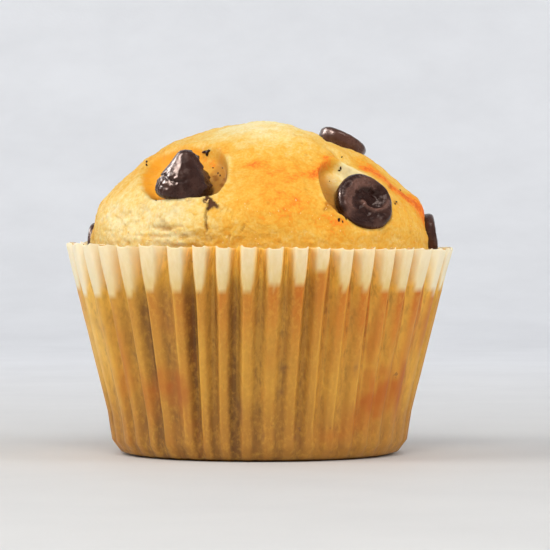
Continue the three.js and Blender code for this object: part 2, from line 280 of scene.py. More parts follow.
class Sketch:
    """Adds nodes to a tree and links them, so that a tree is written as a formula."""

    def __init__(self, tree: Tree) -> None:
        """Keeps the tree, a shader or geometry one."""
        self.tree = tree

    def add(self, kind: str, **settings: object) -> Node:
        """Adds a node.

        Args:
            kind: The node's type name.
            **settings: Properties to set on it.

        Returns:
            The new node.
        """
        node = self.tree.nodes.new(kind)
        for name, value in settings.items():
            setattr(node, name, value)
        return node

    def put(self, socket: Socket, value: object) -> None:
        """Feeds a socket.

        Args:
            socket: The input to feed.
            value: Another node's output to link, or a plain value to set.
        """
        if isinstance(value, Socket):
            self.tree.links.new(value, socket)
        else:
            socket.default_value = value

    def feed(self, node: Node, **values: object) -> Node:
        """Feeds a node's inputs by name, with an underscore for each space.

        Args:
            node: The node.
            **values: What each input gets.

        Returns:
            The same node.
        """
        for name, value in values.items():
            self.put(node.inputs[name.replace("_", " ")], value)
        return node

    def result(self, kind: str, values: Sequence[object], **settings: object) -> Socket:
        """Adds a node and feeds its inputs in order.

        Args:
            kind: The node's type name.
            values: What the inputs get, from the first on.
            **settings: Properties to set on it.

        Returns:
            The node's first output.
        """
        node = self.add(kind, **settings)
        for socket, value in zip(node.inputs, values):
            self.put(socket, value)
        return node.outputs[0]

    def math(self, operation: str, *values: object) -> Socket:
        """A Math node's result, from the operation's name and its inputs."""
        return self.result("ShaderNodeMath", values, operation=operation)

    def remap(self, value: object, low: float, high: float, to: Pair = (0.0, 1.0)) -> Socket:
        """A value moved from the range of low to high to another range, and held in it."""
        return self.result("ShaderNodeMapRange", (value, low, high, *to), clamp=True)

    def mix(self, share: object, a: object, b: object, blend: str = "MIX") -> Socket:
        """Two colours mixed.

        Args:
            share: How much of b there is.
            a: First colour.
            b: Second colour.
            blend: The way of mixing.

        Returns:
            The mixed colour.
        """
        node = self.add("ShaderNodeMix", data_type="RGBA", blend_type=blend, clamp_factor=True)
        self.put(node.inputs["Factor"], share)
        for name, value in (("A", a), ("B", b)):
            socket = next(s for s in node.inputs if s.name == name and s.type == "RGBA")
            self.put(socket, (*value, 1.0) if isinstance(value, tuple) else value)
        return next(s for s in node.outputs if s.type == "RGBA")

    def ramp(self, value: object, stops: Sequence[tuple[float, Colour]]) -> Socket:
        """A colour picked along a ramp.

        Args:
            value: Place on the ramp, from 0 to 1.
            stops: Places and colours.

        Returns:
            The colour.
        """
        node = self.add("ShaderNodeValToRGB")
        elements = node.color_ramp.elements
        while len(elements) < len(stops):
            elements.new(0.5)
        for element, (place, colour) in zip(elements, stops):
            element.position = place
            element.color = (*colour, 1.0)
        self.put(node.inputs[0], value)
        return node.outputs[0]

    def coats(self, colour: object, *coats: tuple[object, Colour]) -> object:
        """Lays colours one over the other.

        Args:
            colour: The colour underneath.
            *coats: How much of each coat shows, as a value or an attribute's name, and its colour.

        Returns:
            The mixed colour.
        """
        for share, coat in coats:
            colour = self.mix(self.attribute(share) if isinstance(share, str) else share, colour, coat)
        return colour

    def attribute(self, name: str) -> Socket:
        """A mesh attribute, for a material."""
        return self.add("ShaderNodeAttribute", attribute_name=name).outputs["Fac"]

    def place(self, stretch: Sequence[float] = (1.0, 1.0, 1.0)) -> Socket:
        """Object coordinates in millimetres, stretched along each axis.

        Args:
            stretch: How much finer the pattern is along each axis.

        Returns:
            The coordinates.
        """
        coordinates = self.add("ShaderNodeTexCoord").outputs["Object"]
        mapping = self.add("ShaderNodeMapping")
        self.put(mapping.inputs["Vector"], coordinates)
        mapping.inputs["Scale"].default_value = [s / MM for s in stretch]
        return mapping.outputs[0]

    def noise(self, vector: object, scale: object, detail: float = 2.0, roughness: float = 0.5) -> Socket:
        """A noise pattern from 0 to 1, with a scale in swells for each millimetre."""
        node = self.add("ShaderNodeTexNoise")
        return self.feed(node, Vector=vector, Scale=scale, Detail=detail, Roughness=roughness).outputs[0]

    def bump(self, height: object, depth: float) -> Socket:
        """A bump normal, from a height of 0 to 1 and the millimetres that a height of 1 stands for."""
        return self.feed(self.add("ShaderNodeBump"), Height=height, Distance=depth * MM).outputs[0]

    def use(self, group: Tree, **values: object) -> Node:
        """Places a shader node group and feeds its inputs."""
        return self.feed(self.add("ShaderNodeGroup", node_tree=group), **values)

    def close(self, out: Node, geometry: object, material: object) -> Tree:
        """Ends a geometry tree with plain faces in one material.

        Args:
            out: The tree's output node.
            geometry: What has been made.
            material: Its finish.

        Returns:
            The tree.
        """
        realized = self.result("GeometryNodeRealizeInstances", (geometry,))
        painted = self.feed(self.add("GeometryNodeSetMaterial"), Geometry=realized, Material=material)
        self.feed(out, Geometry=painted.outputs[0])
        return self.tree


def new_group(
    name: str, kind: str, inputs: dict[str, tuple[str, object]], outputs: dict[str, str]
) -> tuple[Sketch, Node, Node]:
    """Starts a node group with named sockets.

    Args:
        name: The group's name.
        kind: The tree's type name.
        inputs: For each input its kind of socket and default.
        outputs: For each output its kind of socket.

    Returns:
        A sketch on the group, its input node and its output node.
    """
    tree = bpy.data.node_groups.new(name, kind)
    for label, (socket_type, default) in inputs.items():
        full = f"NodeSocket{socket_type}"
        socket = tree.interface.new_socket(name=label, in_out="INPUT", socket_type=full)
        if default is not None:
            socket.default_value = default
    for label, socket_type in outputs.items():
        tree.interface.new_socket(name=label, in_out="OUTPUT", socket_type=f"NodeSocket{socket_type}")
    sketch = Sketch(tree)
    return sketch, sketch.add("NodeGroupInput"), sketch.add("NodeGroupOutput")


class SharedPatterns:
    """Shader node groups that several finishes use, each built once."""

    def __init__(self) -> None:
        """Builds the groups."""
        self.grain = self._grain()
        self.flecks = self._flecks()

    def _grain(self) -> Tree:
        """Fine uneven grain: a height for bump, and a mottle for colour.

        Returns:
            The group.
        """
        sketch, given, out = new_group(
            "Fine grain",
            "ShaderNodeTree",
            {"Place": ("Vector", None), "Fine": ("Float", 0.35), "Coarse": ("Float", 2.0)},
            {"Height": "Float", "Mottle": "Float"},
        )
        fine, coarse = (
            sketch.noise(given.outputs["Place"], sketch.math("DIVIDE", 1.0, given.outputs[size]), detail, 0.6)
            for size, detail in (("Fine", 3.0), ("Coarse", 4.0))
        )
        height = sketch.math("MULTIPLY_ADD", fine, 0.6, sketch.math("MULTIPLY", coarse, 0.4))
        sketch.feed(out, Height=height, Mottle=sketch.remap(coarse, 0.3, 0.7))
        return sketch.tree

    def _flecks(self) -> Tree:
        """Small scattered spots as a mask.

        Returns:
            The group.
        """
        sketch, given, out = new_group(
            "Flecks",
            "ShaderNodeTree",
            {"Place": ("Vector", None), "Spacing": ("Float", 3.0), "Reach": ("Float", 0.12)},
            {"Mask": "Float"},
        )
        place = given.outputs["Place"]
        cells = sketch.add("ShaderNodeTexVoronoi")
        scale = sketch.math("DIVIDE", 1.0, given.outputs["Spacing"])
        sketch.feed(cells, Vector=place, Scale=scale, Randomness=1.0)
        wobble = sketch.remap(sketch.noise(place, 1.7), 0.35, 0.75, (0.0, 1.6))
        reach = sketch.math("MULTIPLY", given.outputs["Reach"], wobble)
        edge = sketch.math("SUBTRACT", reach, cells.outputs["Distance"])
        sketch.feed(out, Mask=sketch.remap(edge, 0.0, 0.06))
        return sketch.tree


def new_material(name: str) -> tuple[Material, Sketch, Node]:
    """Starts a material.

    Args:
        name: Its name.

    Returns:
        The material, a sketch on its tree and its Principled shader.
    """
    material = bpy.data.materials.new(name)
    material.use_nodes = True
    shader = material.node_tree.nodes["Principled BSDF"]
    return material, Sketch(material.node_tree), shader


# --- Finishes ---


@dataclass(frozen=True)
class CrustFinish:
    """Baked crust: pale where it stayed soft, golden, and orange where it toasted."""

    bakes: tuple[tuple[float, Colour], ...] = (
        (0, (0.80, 0.68, 0.36)),
        (0.24, (0.78, 0.56, 0.190)),
        (0.48, (0.75, 0.42, 0.068)),
        (0.70, (0.73, 0.33, 0.034)),
        (0.86, (0.82, 0.225, 0.024)),
        (1, (0.68, 0.135, 0.018)),
    )
    crumb: Colour = (0.53, 0.245, 0.043)
    # The toasted orange of pit 1's left wall, made brighter than toast as painted light on the pit's floor.
    glow: Colour = (0.83, 0.35, 0.026)
    # Painted shade, multiplied in where the hollow mark is set: in cracks, pores, the crumbly zone's dips,
    # the pits' walls and the weaker spots.
    hollow: Colour = (0.42, 0.20, 0.06)
    painted_shade_most: float = 0.75
    # Chocolate smears and specks, with painted shade in the crack and where the chips meet the crust.
    soot: Colour = (0.085, 0.036, 0.016)
    patchy: float = 0.07
    speckled: float = 0.09
    roughness: Pair = (0.48, 0.72)
    gloss: float = 0.04
    softness: float = 0.15
    scatter_mm: Colour = (1.4, 0.6, 0.2)
    grain_mm: float = 0.22

    def material(self, patterns: SharedPatterns) -> Material:
        """Builds the material.

        Args:
            patterns: The shared node groups.

        Returns:
            The material.
        """
        material, sketch, shader = new_material("baked_crust")
        grain = sketch.use(patterns.grain, Place=sketch.place(), Fine=0.5, Coarse=2.0)
        mottle, height = grain.outputs["Mottle"], grain.outputs["Height"]
        patches = sketch.remap(mottle, 0.0, 1.0, (-self.patchy, self.patchy))
        specks = sketch.remap(height, 0.38, 0.62, (-self.speckled, self.speckled))
        bake = sketch.math("ADD", sketch.math("ADD", sketch.attribute("bake"), patches), specks)
        colour = sketch.coats(sketch.ramp(bake, self.bakes), ("crumb", self.crumb), ("glow", self.glow))
        shade = sketch.remap(sketch.attribute("hollow"), 0.0, 1.0, (0.0, self.painted_shade_most))
        colour = sketch.mix(shade, colour, self.hollow, "MULTIPLY")
        sketch.feed(
            shader,
            Base_Color=sketch.coats(colour, ("soot", self.soot)),
            Roughness=sketch.remap(mottle, 0.0, 1.0, self.roughness),
            Specular_IOR_Level=self.gloss,
            Subsurface_Weight=self.softness,
            Subsurface_Radius=self.scatter_mm,
            Subsurface_Scale=MM,
            Normal=sketch.bump(height, self.grain_mm),
        )
        return material


@dataclass(frozen=True)
class PaperFinish:
    """Greaseproof paper: cream where it stands off the cake, golden where butter soaked it."""

    dry: Colour = (0.84, 0.67, 0.41)
    damp: Colour = (0.69, 0.46, 0.165)
    ridge: Colour = (0.52, 0.240, 0.040)
    low_ridge: Colour = (0.41, 0.183, 0.035)
    # Dark valley colour: painted shade, with the butter that pooled there; the valley streaks use it too.
    deep: Colour = (0.155, 0.069, 0.022)
    dull: Colour = (0.37, 0.170, 0.030)
    sunny: Colour = (0.80, 0.42, 0.068)
    # Golden near the edge in the valleys and on the creases: the cake's colour through the paper, raised into
    # painted light shining through it, and a painted highlight on the creases.
    golden: Colour = (1.0, 0.56, 0.09)
    # Painted light at the cup's far sides, where light shines through the paper.
    pale: Colour = (0.88, 0.79, 0.58)
    orange: Colour = (0.54, 0.142, 0.017)
    stain: Colour = (0.44, 0.128, 0.021)
    chocolate: Colour = (0.16, 0.070, 0.035)
    dull_most: float = 0.36
    shine_most: float = 0.34
    fleck_most: float = 0.6
    streak_mm: float = 0.9
    gloss: float = 0.15
    roughness: float = 0.5
    softness: float = 0.25
    scatter_mm: Colour = (1.0, 0.6, 0.3)
    grain_mm: float = 0.03

    def material(self, patterns: SharedPatterns) -> Material:
        """Builds the material.

        Args:
            patterns: The shared node groups.

        Returns:
            The material.
        """
        material, sketch, shader = new_material("greaseproof_paper")
        grain = sketch.use(patterns.grain, Place=sketch.place((1.0, 1.0, 0.7)), Fine=0.7, Coarse=2.4)
        flecks = sketch.use(patterns.flecks, Place=sketch.place(), Spacing=5.5, Reach=0.11)
        streaks = sketch.noise(sketch.place((1.0, 1.0, 0.35)), 1.0 / self.streak_mm, 3.0, 0.6)
        fold = sketch.math("ABSOLUTE", sketch.attribute("fold"))
        valley = sketch.remap(fold, 0.1, 0.4)
        # Among these coats, the valley shade is painted shade, the golden near the edge is painted light
        # through the paper, and the golden on the creases is a painted highlight.
        soaked = sketch.coats(
            self.ridge,
            ("low", self.low_ridge),
            ("shade", self.deep),
            ("sunny", self.sunny),
            ("upper", self.golden),
            ("orange", self.orange),
            (sketch.remap(grain.outputs["Mottle"], 0.15, 0.95, (0.0, self.dull_most)), self.dull),
            (sketch.math("MULTIPLY", sketch.remap(streaks, 0.46, 0.68, (0.0, 0.5)), valley), self.deep),
            (sketch.remap(grain.outputs["Height"], 0.48, 0.68, (0.0, self.shine_most)), self.sunny),
            ("crease", self.golden),
            ("stain", self.stain),
            (sketch.math("MULTIPLY", flecks.outputs["Mask"], self.fleck_most), self.chocolate),
            ("blotch", self.chocolate),
        )
        rise = sketch.math("ADD", sketch.attribute("rise"), sketch.remap(streaks, 0.3, 0.7, (-0.16, 0.16)))
        # The pale coat is painted light at the far sides.
        dry = sketch.coats(self.damp, (rise, self.dry), ("pale", self.pale))
        sketch.feed(
            shader,
            Base_Color=sketch.mix(sketch.attribute("dry"), soaked, dry),
            Roughness=self.roughness,
            Specular_IOR_Level=self.gloss,
            Subsurface_Weight=self.softness,
            Subsurface_Radius=self.scatter_mm,
            Subsurface_Scale=MM,
            Normal=sketch.bump(grain.outputs["Height"], self.grain_mm),
        )
        return material


@dataclass(frozen=True)
class ChocolateFinish:
    """Dark chocolate, glossy where it melted and dull where it bloomed."""

    dark: Colour = (0.021, 0.0068, 0.0045)
    # Pale bloom colour, also laid on crests and blisters as painted highlight; where its share falls, hollows
    # darken as painted shade.
    bloom: Colour = (0.165, 0.078, 0.056)
    roughness: Pair = (0.18, 0.34)
    gloss: float = 0.4
    sheen_tint: Colour = (1.0, 0.82, 0.74)
    grain_mm: float = 0.05

    def material(self, patterns: SharedPatterns) -> Material:
        """Builds the material.

        Args:
            patterns: The shared node groups.

        Returns:
            The material.
        """
        material, sketch, shader = new_material("dark_chocolate")
        grain = sketch.use(patterns.grain, Place=sketch.place(), Fine=0.22, Coarse=1.5)
        mottle = grain.outputs["Mottle"]
        bloom = sketch.math("MULTIPLY", sketch.attribute("bloom"), sketch.remap(mottle, 0.0, 1.0, (0.5, 1.0)))
        sketch.feed(
            shader,
            Base_Color=sketch.mix(bloom, self.dark, self.bloom),
            Roughness=sketch.remap(mottle, 0.0, 1.0, self.roughness),
            Specular_IOR_Level=self.gloss,
            Specular_Tint=(*self.sheen_tint, 1.0),
            Normal=sketch.bump(grain.outputs["Height"], self.grain_mm),
        )
        return material


@dataclass(frozen=True)
class CrumbFinish:
    """Loose crumbs of cake."""

    pale: Colour = (0.90, 0.66, 0.28)
    golden: Colour = (0.80, 0.42, 0.09)
    roughness: float = 0.8
    grain_mm: float = 0.06

    def material(self, patterns: SharedPatterns) -> Material:
        """Builds the material.

        Args:
            patterns: The shared node groups.

        Returns:
            The material.
        """
        material, sketch, shader = new_material("cake_crumb")
        grain = sketch.use(patterns.grain, Place=sketch.place(), Fine=0.3, Coarse=1.2)
        sketch.feed(
            shader,
            Base_Color=sketch.mix(grain.outputs["Mottle"], self.pale, self.golden),
            Roughness=self.roughness,
            Normal=sketch.bump(grain.outputs["Height"], self.grain_mm),
        )
        return material


@dataclass(frozen=True)
class TableFinish:
    """Matt pale stone of the table and the wall behind it."""

    table: Colour = (0.605, 0.605, 0.595)
    wall: Colour = (0.865, 0.88, 0.905)
    grey: Colour = (0.30, 0.30, 0.32)
    worn: float = 0.10
    wall_from_mm: Pair = (60.0, 420.0)
    roughness: float = 0.7
    grain_mm: float = 0.08

    def material(self, patterns: SharedPatterns) -> Material:
        """Builds the material.

        Args:
            patterns: The shared node groups.

        Returns:
            The material.
        """
        material, sketch, shader = new_material("pale_table")
        place = sketch.place()
        grain = sketch.use(patterns.grain, Place=place, Fine=1.4, Coarse=38.0)
        split = sketch.feed(sketch.add("ShaderNodeSeparateXYZ"), Vector=place)
        back = sketch.remap(split.outputs["Y"], *self.wall_from_mm)
        dull = sketch.math("MULTIPLY", grain.outputs["Mottle"], self.worn)
        sketch.feed(
            shader,
            Base_Color=sketch.coats(self.table, (back, self.wall), (dull, self.grey)),
            Roughness=self.roughness,
            Normal=sketch.bump(grain.outputs["Height"], self.grain_mm),
        )
        return material


# --- Meshes ---


class RingMesh:
    """A mesh made of rings of points, one below the other, with its faces pointing out."""

    def __init__(self) -> None:
        """Starts with nothing."""
        self.points: list[Array] = []
        self.faces: list[Array] = []
        self.count = 0

    def ring(self, points: Array) -> Array:
        """Adds a ring of points.

        Args:
            points: One row for each point.

        Returns:
            The points' numbers.
        """
        numbers = np.arange(self.count, self.count + len(points))
        self.points.append(points)
        self.count += len(points)
        return numbers

    def join(self, upper: Array, lower: Array) -> None:
        """Joins two rings of equal count, given by their numbers, by four-sided faces."""
        quads = np.stack([upper, lower, np.roll(lower, -1), np.roll(upper, -1)], axis=1)
        self.faces.extend(quads.tolist())

    def fan(self, middle: int, ring: Array, up: bool) -> None:
        """Closes a ring round a middle point.

        Args:
            middle: The middle point's number.
            ring: The ring's numbers.
            up: Whether the faces point up.
        """
        after = np.roll(ring, -1)
        first, second = (ring, after) if up else (after, ring)
        self.faces.extend([middle, a, b] for a, b in zip(first.tolist(), second.tolist()))

    def grow(self, inner: Array, outer: Array) -> None:
        """Joins ring n, of 6 n points, to ring n + 1.

        Args:
            inner: The inner ring's numbers.
            outer: The outer ring's numbers.
        """
        n = len(inner) // 6
        for sector in range(6):
            k = np.arange(n + 1)
            a = inner[(sector * n + k) % len(inner)]
            b = outer[sector * (n + 1) + k]
            c = outer[(sector * (n + 1) + k + 1) % len(outer)]
            d = inner[(sector * n + k + 1) % len(inner)]
            self.faces.extend(np.stack([a, b, c], axis=1).tolist())
            self.faces.extend(np.stack([a, c, d], axis=1)[:-1].tolist())

    def build(self, name: str) -> Thing:
        """Makes the object, in metres and shaded smooth."""
        return mesh_object(name, np.vstack(self.points) * MM, self.faces)


def add_object(name: str, data: bpy.types.ID | None) -> Thing:
    """Puts an object that holds the data into the scene.

    Args:
        name: The object's name.
        data: Its mesh, light or camera.

    Returns:
        The object.
    """
    thing = bpy.data.objects.new(name, data)
    bpy.context.scene.collection.objects.link(thing)
    return thing


def smooth_object(name: str, mesh: bpy.types.Mesh) -> Thing:
    """Puts a mesh into the scene, shaded smooth.

    Args:
        name: The object's name.
        mesh: The mesh.

    Returns:
        The object.
    """
    mesh.update()
    mesh.shade_smooth()
    return add_object(name, mesh)


def mesh_object(name: str, points: Sequence, faces: Sequence = ()) -> Thing:
    """Makes a mesh object.

    Args:
        name: The object's name.
        points: One row for each point, in metres.
        faces: The numbers of the points round each face.

    Returns:
        The object, shaded smooth.
    """
    mesh = bpy.data.meshes.new(name)
    mesh.from_pydata(points, [], list(faces))
    return smooth_object(name, mesh)


def set_attributes(mesh: bpy.types.Mesh, fields: dict[str, Array]) -> None:
    """Stores numbers for each vertex.

    Args:
        mesh: The mesh.
        fields: For each attribute's name, one number for each vertex.
    """
    for name, values in fields.items():
        layer = mesh.attributes.new(name, "FLOAT", "POINT")
        layer.data.foreach_set("value", np.asarray(values, np.float32))


def rail(name: str, places: Sequence, fields: dict[str, Array]) -> Thing:
    """Loose points that carry numbers for a geometry tree to read.

    Args:
        name: The rail's name.
        places: One row for each point, in metres.
        fields: The numbers at each point.

    Returns:
        The rail.
    """
    thing = mesh_object(name, places)
    set_attributes(thing.data, fields)
    return thing


def points_of(mesh: bpy.types.Mesh) -> Array:
    """A mesh's vertices in millimetres.

    Args:
        mesh: The mesh.

    Returns:
        One row for each vertex.
    """
    flat = np.zeros(len(mesh.vertices) * 3, np.float32)
    mesh.vertices.foreach_get("co", flat)
    return flat.reshape(-1, 3).astype(float) / MM


def grow_mesh(
    name: str, tree: Tree, settings: dict[str, object], thickness: float = 0.0
) -> Thing:
    """Makes a plain mesh object with a geometry tree, and removes the objects that the tree reads.

    Args:
        name: The object's name.
        tree: The tree.
        settings: A value for each of its named inputs.
        thickness: How thick a wall the surface gets on its inner side, in metres.

    Returns:
        The object, with no modifiers.
    """
    holder = add_object(name, bpy.data.meshes.new(name))
    modifier = holder.modifiers.new(tree.name, "NODES")
    modifier.node_group = tree
    sockets = {item.name: item.identifier for item in tree.interface.items_tree if item.in_out == "INPUT"}
    for label, value in settings.items():
        modifier[sockets[label]] = value
    if thickness:
        wall = holder.modifiers.new("Thickness", "SOLIDIFY")
        wall.thickness = thickness
        wall.offset = -1.0
        wall.use_even_offset = False
    graph = bpy.context.evaluated_depsgraph_get()
    graph.update()
    mesh = bpy.data.meshes.new_from_object(holder.evaluated_get(graph), depsgraph=graph)
    for used in [holder, *(value for value in settings.values() if isinstance(value, Thing))]:
        bpy.data.objects.remove(used)
    return smooth_object(name, mesh)


def finish_piece(piece: Thing, material: Material, slot: str, *nodes: str) -> None:
    """Dresses a piece and ties it to the muffin.

    Args:
        piece: The piece.
        material: Its finish.
        slot: The record's material slot; not used.
        *nodes: The solids that it stands for.
    """
    piece.data.materials.clear()
    piece.data.materials.append(material)
    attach(piece, BODY)
    if nodes:
        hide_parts(*nodes)
    LOG.info("%s: %d faces", piece.name, len(piece.data.polygons))


# --- Pleats, shared by the paper and the cake that fills it ---


@dataclass
class Pleats:
    """Where the paper's pleats stand and how deep they are.

    The pleats in front have widths and leans of their own, in degrees, and valleys as shares of the
    depth. A pressed place is a bearing, a half width and how flat the pleats lie there.
    """

    DRAW_FACTOR = 16807
    DRAW_SPAN = 2147483647

    count: int = 45
    first: float = -72.6
    front_widths: tuple[float, ...] = (
        11.1, 8.9, 9, 8.6, 10.2, 7.2, 7, 7.4, 7.9, 7.7, 6.2, 7.6, 7.1, 7.9, 7.8, 9, 13,
    )
    jitter: float = 0.9
    depth_jitter: float = 0.06
    bow: float = 0.06
    seed: int = 7
    half_steps: tuple[float, ...] = (0.0, 0.08, 0.14, 0.19, 0.23, 0.27, 0.31, 0.35, 0.39, 0.44, 0.5)
    front_leans: tuple[float, ...] = (
        0, 0, -0.8, -1.2, -1.7, -2.2, -2.7, -2.6, -1.9, -1.5, -1.3, 0, 0.2, 2.2, 2.4, 1.4, 0.8, 0,
    )
    front_valleys: tuple[float, ...] = (
        0.7, 0.8, 0.8, 0.8, 0.4, 1.1, 0.9, 0.95, 0.65, 0.6, 0.85, 0.8, 0.6, 0.75, 0.5, 0.5, 0.5, 0.6,
    )
    other_valley: float = 0.75
    pressed: tuple[Triple, ...] = (
        (72, 14, 0.5), (90, 11, 0.68), (-76, 16, 0.5), (-100, 11, 0.62),
    )
    bearings: Array = field(init=False)
    leans: Array = field(init=False)
    phase: Array = field(init=False)
    number: Array = field(init=False)
    free: Array = field(init=False)
    held: Array = field(init=False)

    def __post_init__(self) -> None:
        """Lays out the crests and the columns between them."""
        crests, depths = self._crests()
        nexts = np.append(crests[1:], crests[0] + 360.0)
        half = np.array(self.half_steps)
        share = np.concatenate([half, 1.0 - half[-2:0:-1]])
        self.bearings = (crests[:, None] + (nexts - crests)[:, None] * share).ravel()
        phase = np.tile(share, self.count)
        self.phase = np.where(phase > 0.5, phase - 1.0, phase)
        owner = np.repeat(np.arange(self.count), len(share))
        self.number = (owner + (phase > 0.5)) % self.count
        leans = self._for_each_pleat(self.front_leans, 0.0)
        self.leans = (leans[:, None] + (np.roll(leans, -1) - leans)[:, None] * share).ravel()
        pressed = np.zeros(len(self.bearings))
        for bearing, width, most in self.pressed:
            near = bell(turn_between(self.bearings, bearing), 0.0, width)
            pressed = np.maximum(pressed, most * near)
        self.free = depths[owner] * (1.0 - pressed)
        self.held = self.free * self._for_each_pleat(self.front_valleys, self.other_valley)[owner]

    def _for_each_pleat(self, front: Sequence[float], others: float) -> Array:
        """One number for each pleat: those in front are given, and the others are alike."""
        return np.array([*front, *[others] * (self.count - len(front))], float)

    def _crests(self) -> tuple[Array, Array]:
        """The crests' bearings and depth factors, drawn as the part's source draws them.

        Returns:
            Both, one number for each pleat.
        """
        state = self.seed

        def draw() -> float:
            """Draws the next seeded number.

            Returns:
                A number from -1 to 1.
            """
            nonlocal state
            state = state * self.DRAW_FACTOR % self.DRAW_SPAN
            return 2.0 * state / self.DRAW_SPAN - 1.0

        placed = len(self.front_widths)
        even = (360.0 - sum(self.front_widths)) / (self.count - placed)
        bearing = self.first
        crests, depths = [], []
        for n in range(self.count):
            crests.append(bearing + (self.jitter * draw() if n > placed else 0.0))
            depths.append(1.0 + self.depth_jitter * draw())
            bearing += self.front_widths[n] if n < placed else even
        return np.array(crests), np.array(depths)

    def _share(self, flat: float, low: float, high: float) -> Array:
        """Depth share across each pleat: a slight bow out to flat, and a fall from low to high."""
        away = np.abs(self.phase)
        return self.bow * np.minimum(away / flat, 1.0) ** 2 + (1.0 - self.bow) * ease(away, low, high)

    def crisp(self) -> Array:
        """Depth share at the paper's edge: a wide flat ridge and a folded valley."""
        return self._share(0.28, 0.24, 0.46)

    def soft(self) -> Array:
        """Depth share where the cake fills the pleat: a narrower ridge and a flat valley."""
        return self._share(0.16, 0.11, 0.42)


@dataclass
class Wall:
    """The paper wall's sizes at each height. A corner row is a radius, a height and a pleat depth."""

    rim_radius: float = 36.3
    rim_height: float = 39.0
    run: float = 0.25
    foot_top: float = 8.0
    foot_pleat: float = 1.1
    rim_pleat: float = 2.5
    corner: tuple[Triple, ...] = (
        (23.8, 0, 0), (26.1, 0.6, 0.25), (27.7, 2.7, 0.8),
    )
    rim_dip: float = 0.15
    rim_slant: float = 0.75
    contact_height: float = 30.9

    def radius(self, height: Array) -> Array:
        """Crest radius at each height.

        Args:
            height: The heights.

        Returns:
            One radius for each.
        """
        wall, foot = (self.rim_radius - self.run * (self.rim_height - at) for at in (height, self.foot_top))
        radii, heights = [row[0] for row in self.corner], [row[1] for row in self.corner]
        curved = np.interp(height, [*heights, self.foot_top], [*radii, foot])
        return np.where(height >= self.foot_top, wall, curved)

    def depth(self, height: Array) -> Array:
        """Pleat depth at each height.

        Args:
            height: The heights.

        Returns:
            One depth for each.
        """
        depths = [row[2] for row in self.corner] + [self.foot_pleat, self.rim_pleat]
        heights = [row[1] for row in self.corner] + [self.foot_top, self.rim_height]
        return np.interp(height, heights, depths)

    def crispness(self, height: Array) -> Array:
        """How much a pleat keeps its folded shape, from 0 where the cake fills it to 1 at the edge."""
        return ease(height, 26.0, 37.0)

    def offset(self, pleats: Pleats, height: float) -> Array:
        """How far inside the crest radius each column lies at one height.

        Args:
            pleats: The pleats.
            height: The height.

        Returns:
            One distance for each column.
        """
        crisp = float(self.crispness(np.array(height)))
        share = crisp * pleats.crisp() * pleats.free + (1.0 - crisp) * pleats.soft() * pleats.held
        return share * float(self.depth(np.array(height)))

    def fallen(self, height: Array) -> Array:
        """How far down the wall a height is, from 0 at the edge to 1 at the foot's top."""
        return np.clip((self.rim_height - height) / (self.rim_height - self.foot_top), 0.0, 1.0)


# --- The cake ---


@dataclass
class Hollow:
    """A round hollow in the dome, or a bulge where its depth is negative."""

    bearing: float
    height: float
    radius: float
    depth: float
    floor: float


@dataclass
class Pit:
    """A hollow with an uneven outline: each corner's bearing, height and how softly the edge falls there."""

    depth: float
    corners: tuple[Triple, ...]
    lip: float = 0.0
    floor_bake: float = 0.3


@dataclass
class Tint:
    """A patch of the crust that baked more, or less where its amount is negative."""

    bearing: float
    height: float
    radius: float
    amount: float


@dataclass
class Streak:
    """A toasted or cracked line along the crust: corners as bearing and height."""

    corners: tuple[Pair, ...]
    width: float
    bake: float = 0.0
    depth: float = 0.0
    crumb: float = 0.0
    soot: float = 0.0


@dataclass
class Bed:
    """Where a chip lies base out: its base's middle, the way the base faces, and its radius."""

    middle: Triple
    outward: Triple
    radius: float
    sink: float = 0.9
    slope: float = 1.7
    reach: float = 4.0
    steepest: float = 0.45

    def cut(self, place: Array, normal: Array) -> Array:
        """How far the crust must move in, along its normal, to leave the chip's base bare.

        Args:
            place: Points on the crust.
            normal: Their outward normals.

        Returns:
            One distance for each point.
        """
        away = unit(np.array(self.outward, float))
        offset = place - np.array(self.middle)
        height = offset @ away
        beside = np.linalg.norm(offset - height[:, None] * away, axis=1)
        share = 1.0 - ease(beside, self.radius - 0.1, self.radius + self.slope)
        facing = np.maximum(normal @ away, self.steepest)
        return np.clip(height + self.sink, 0.0, self.reach) * (share * (height > -self.reach)) / facing


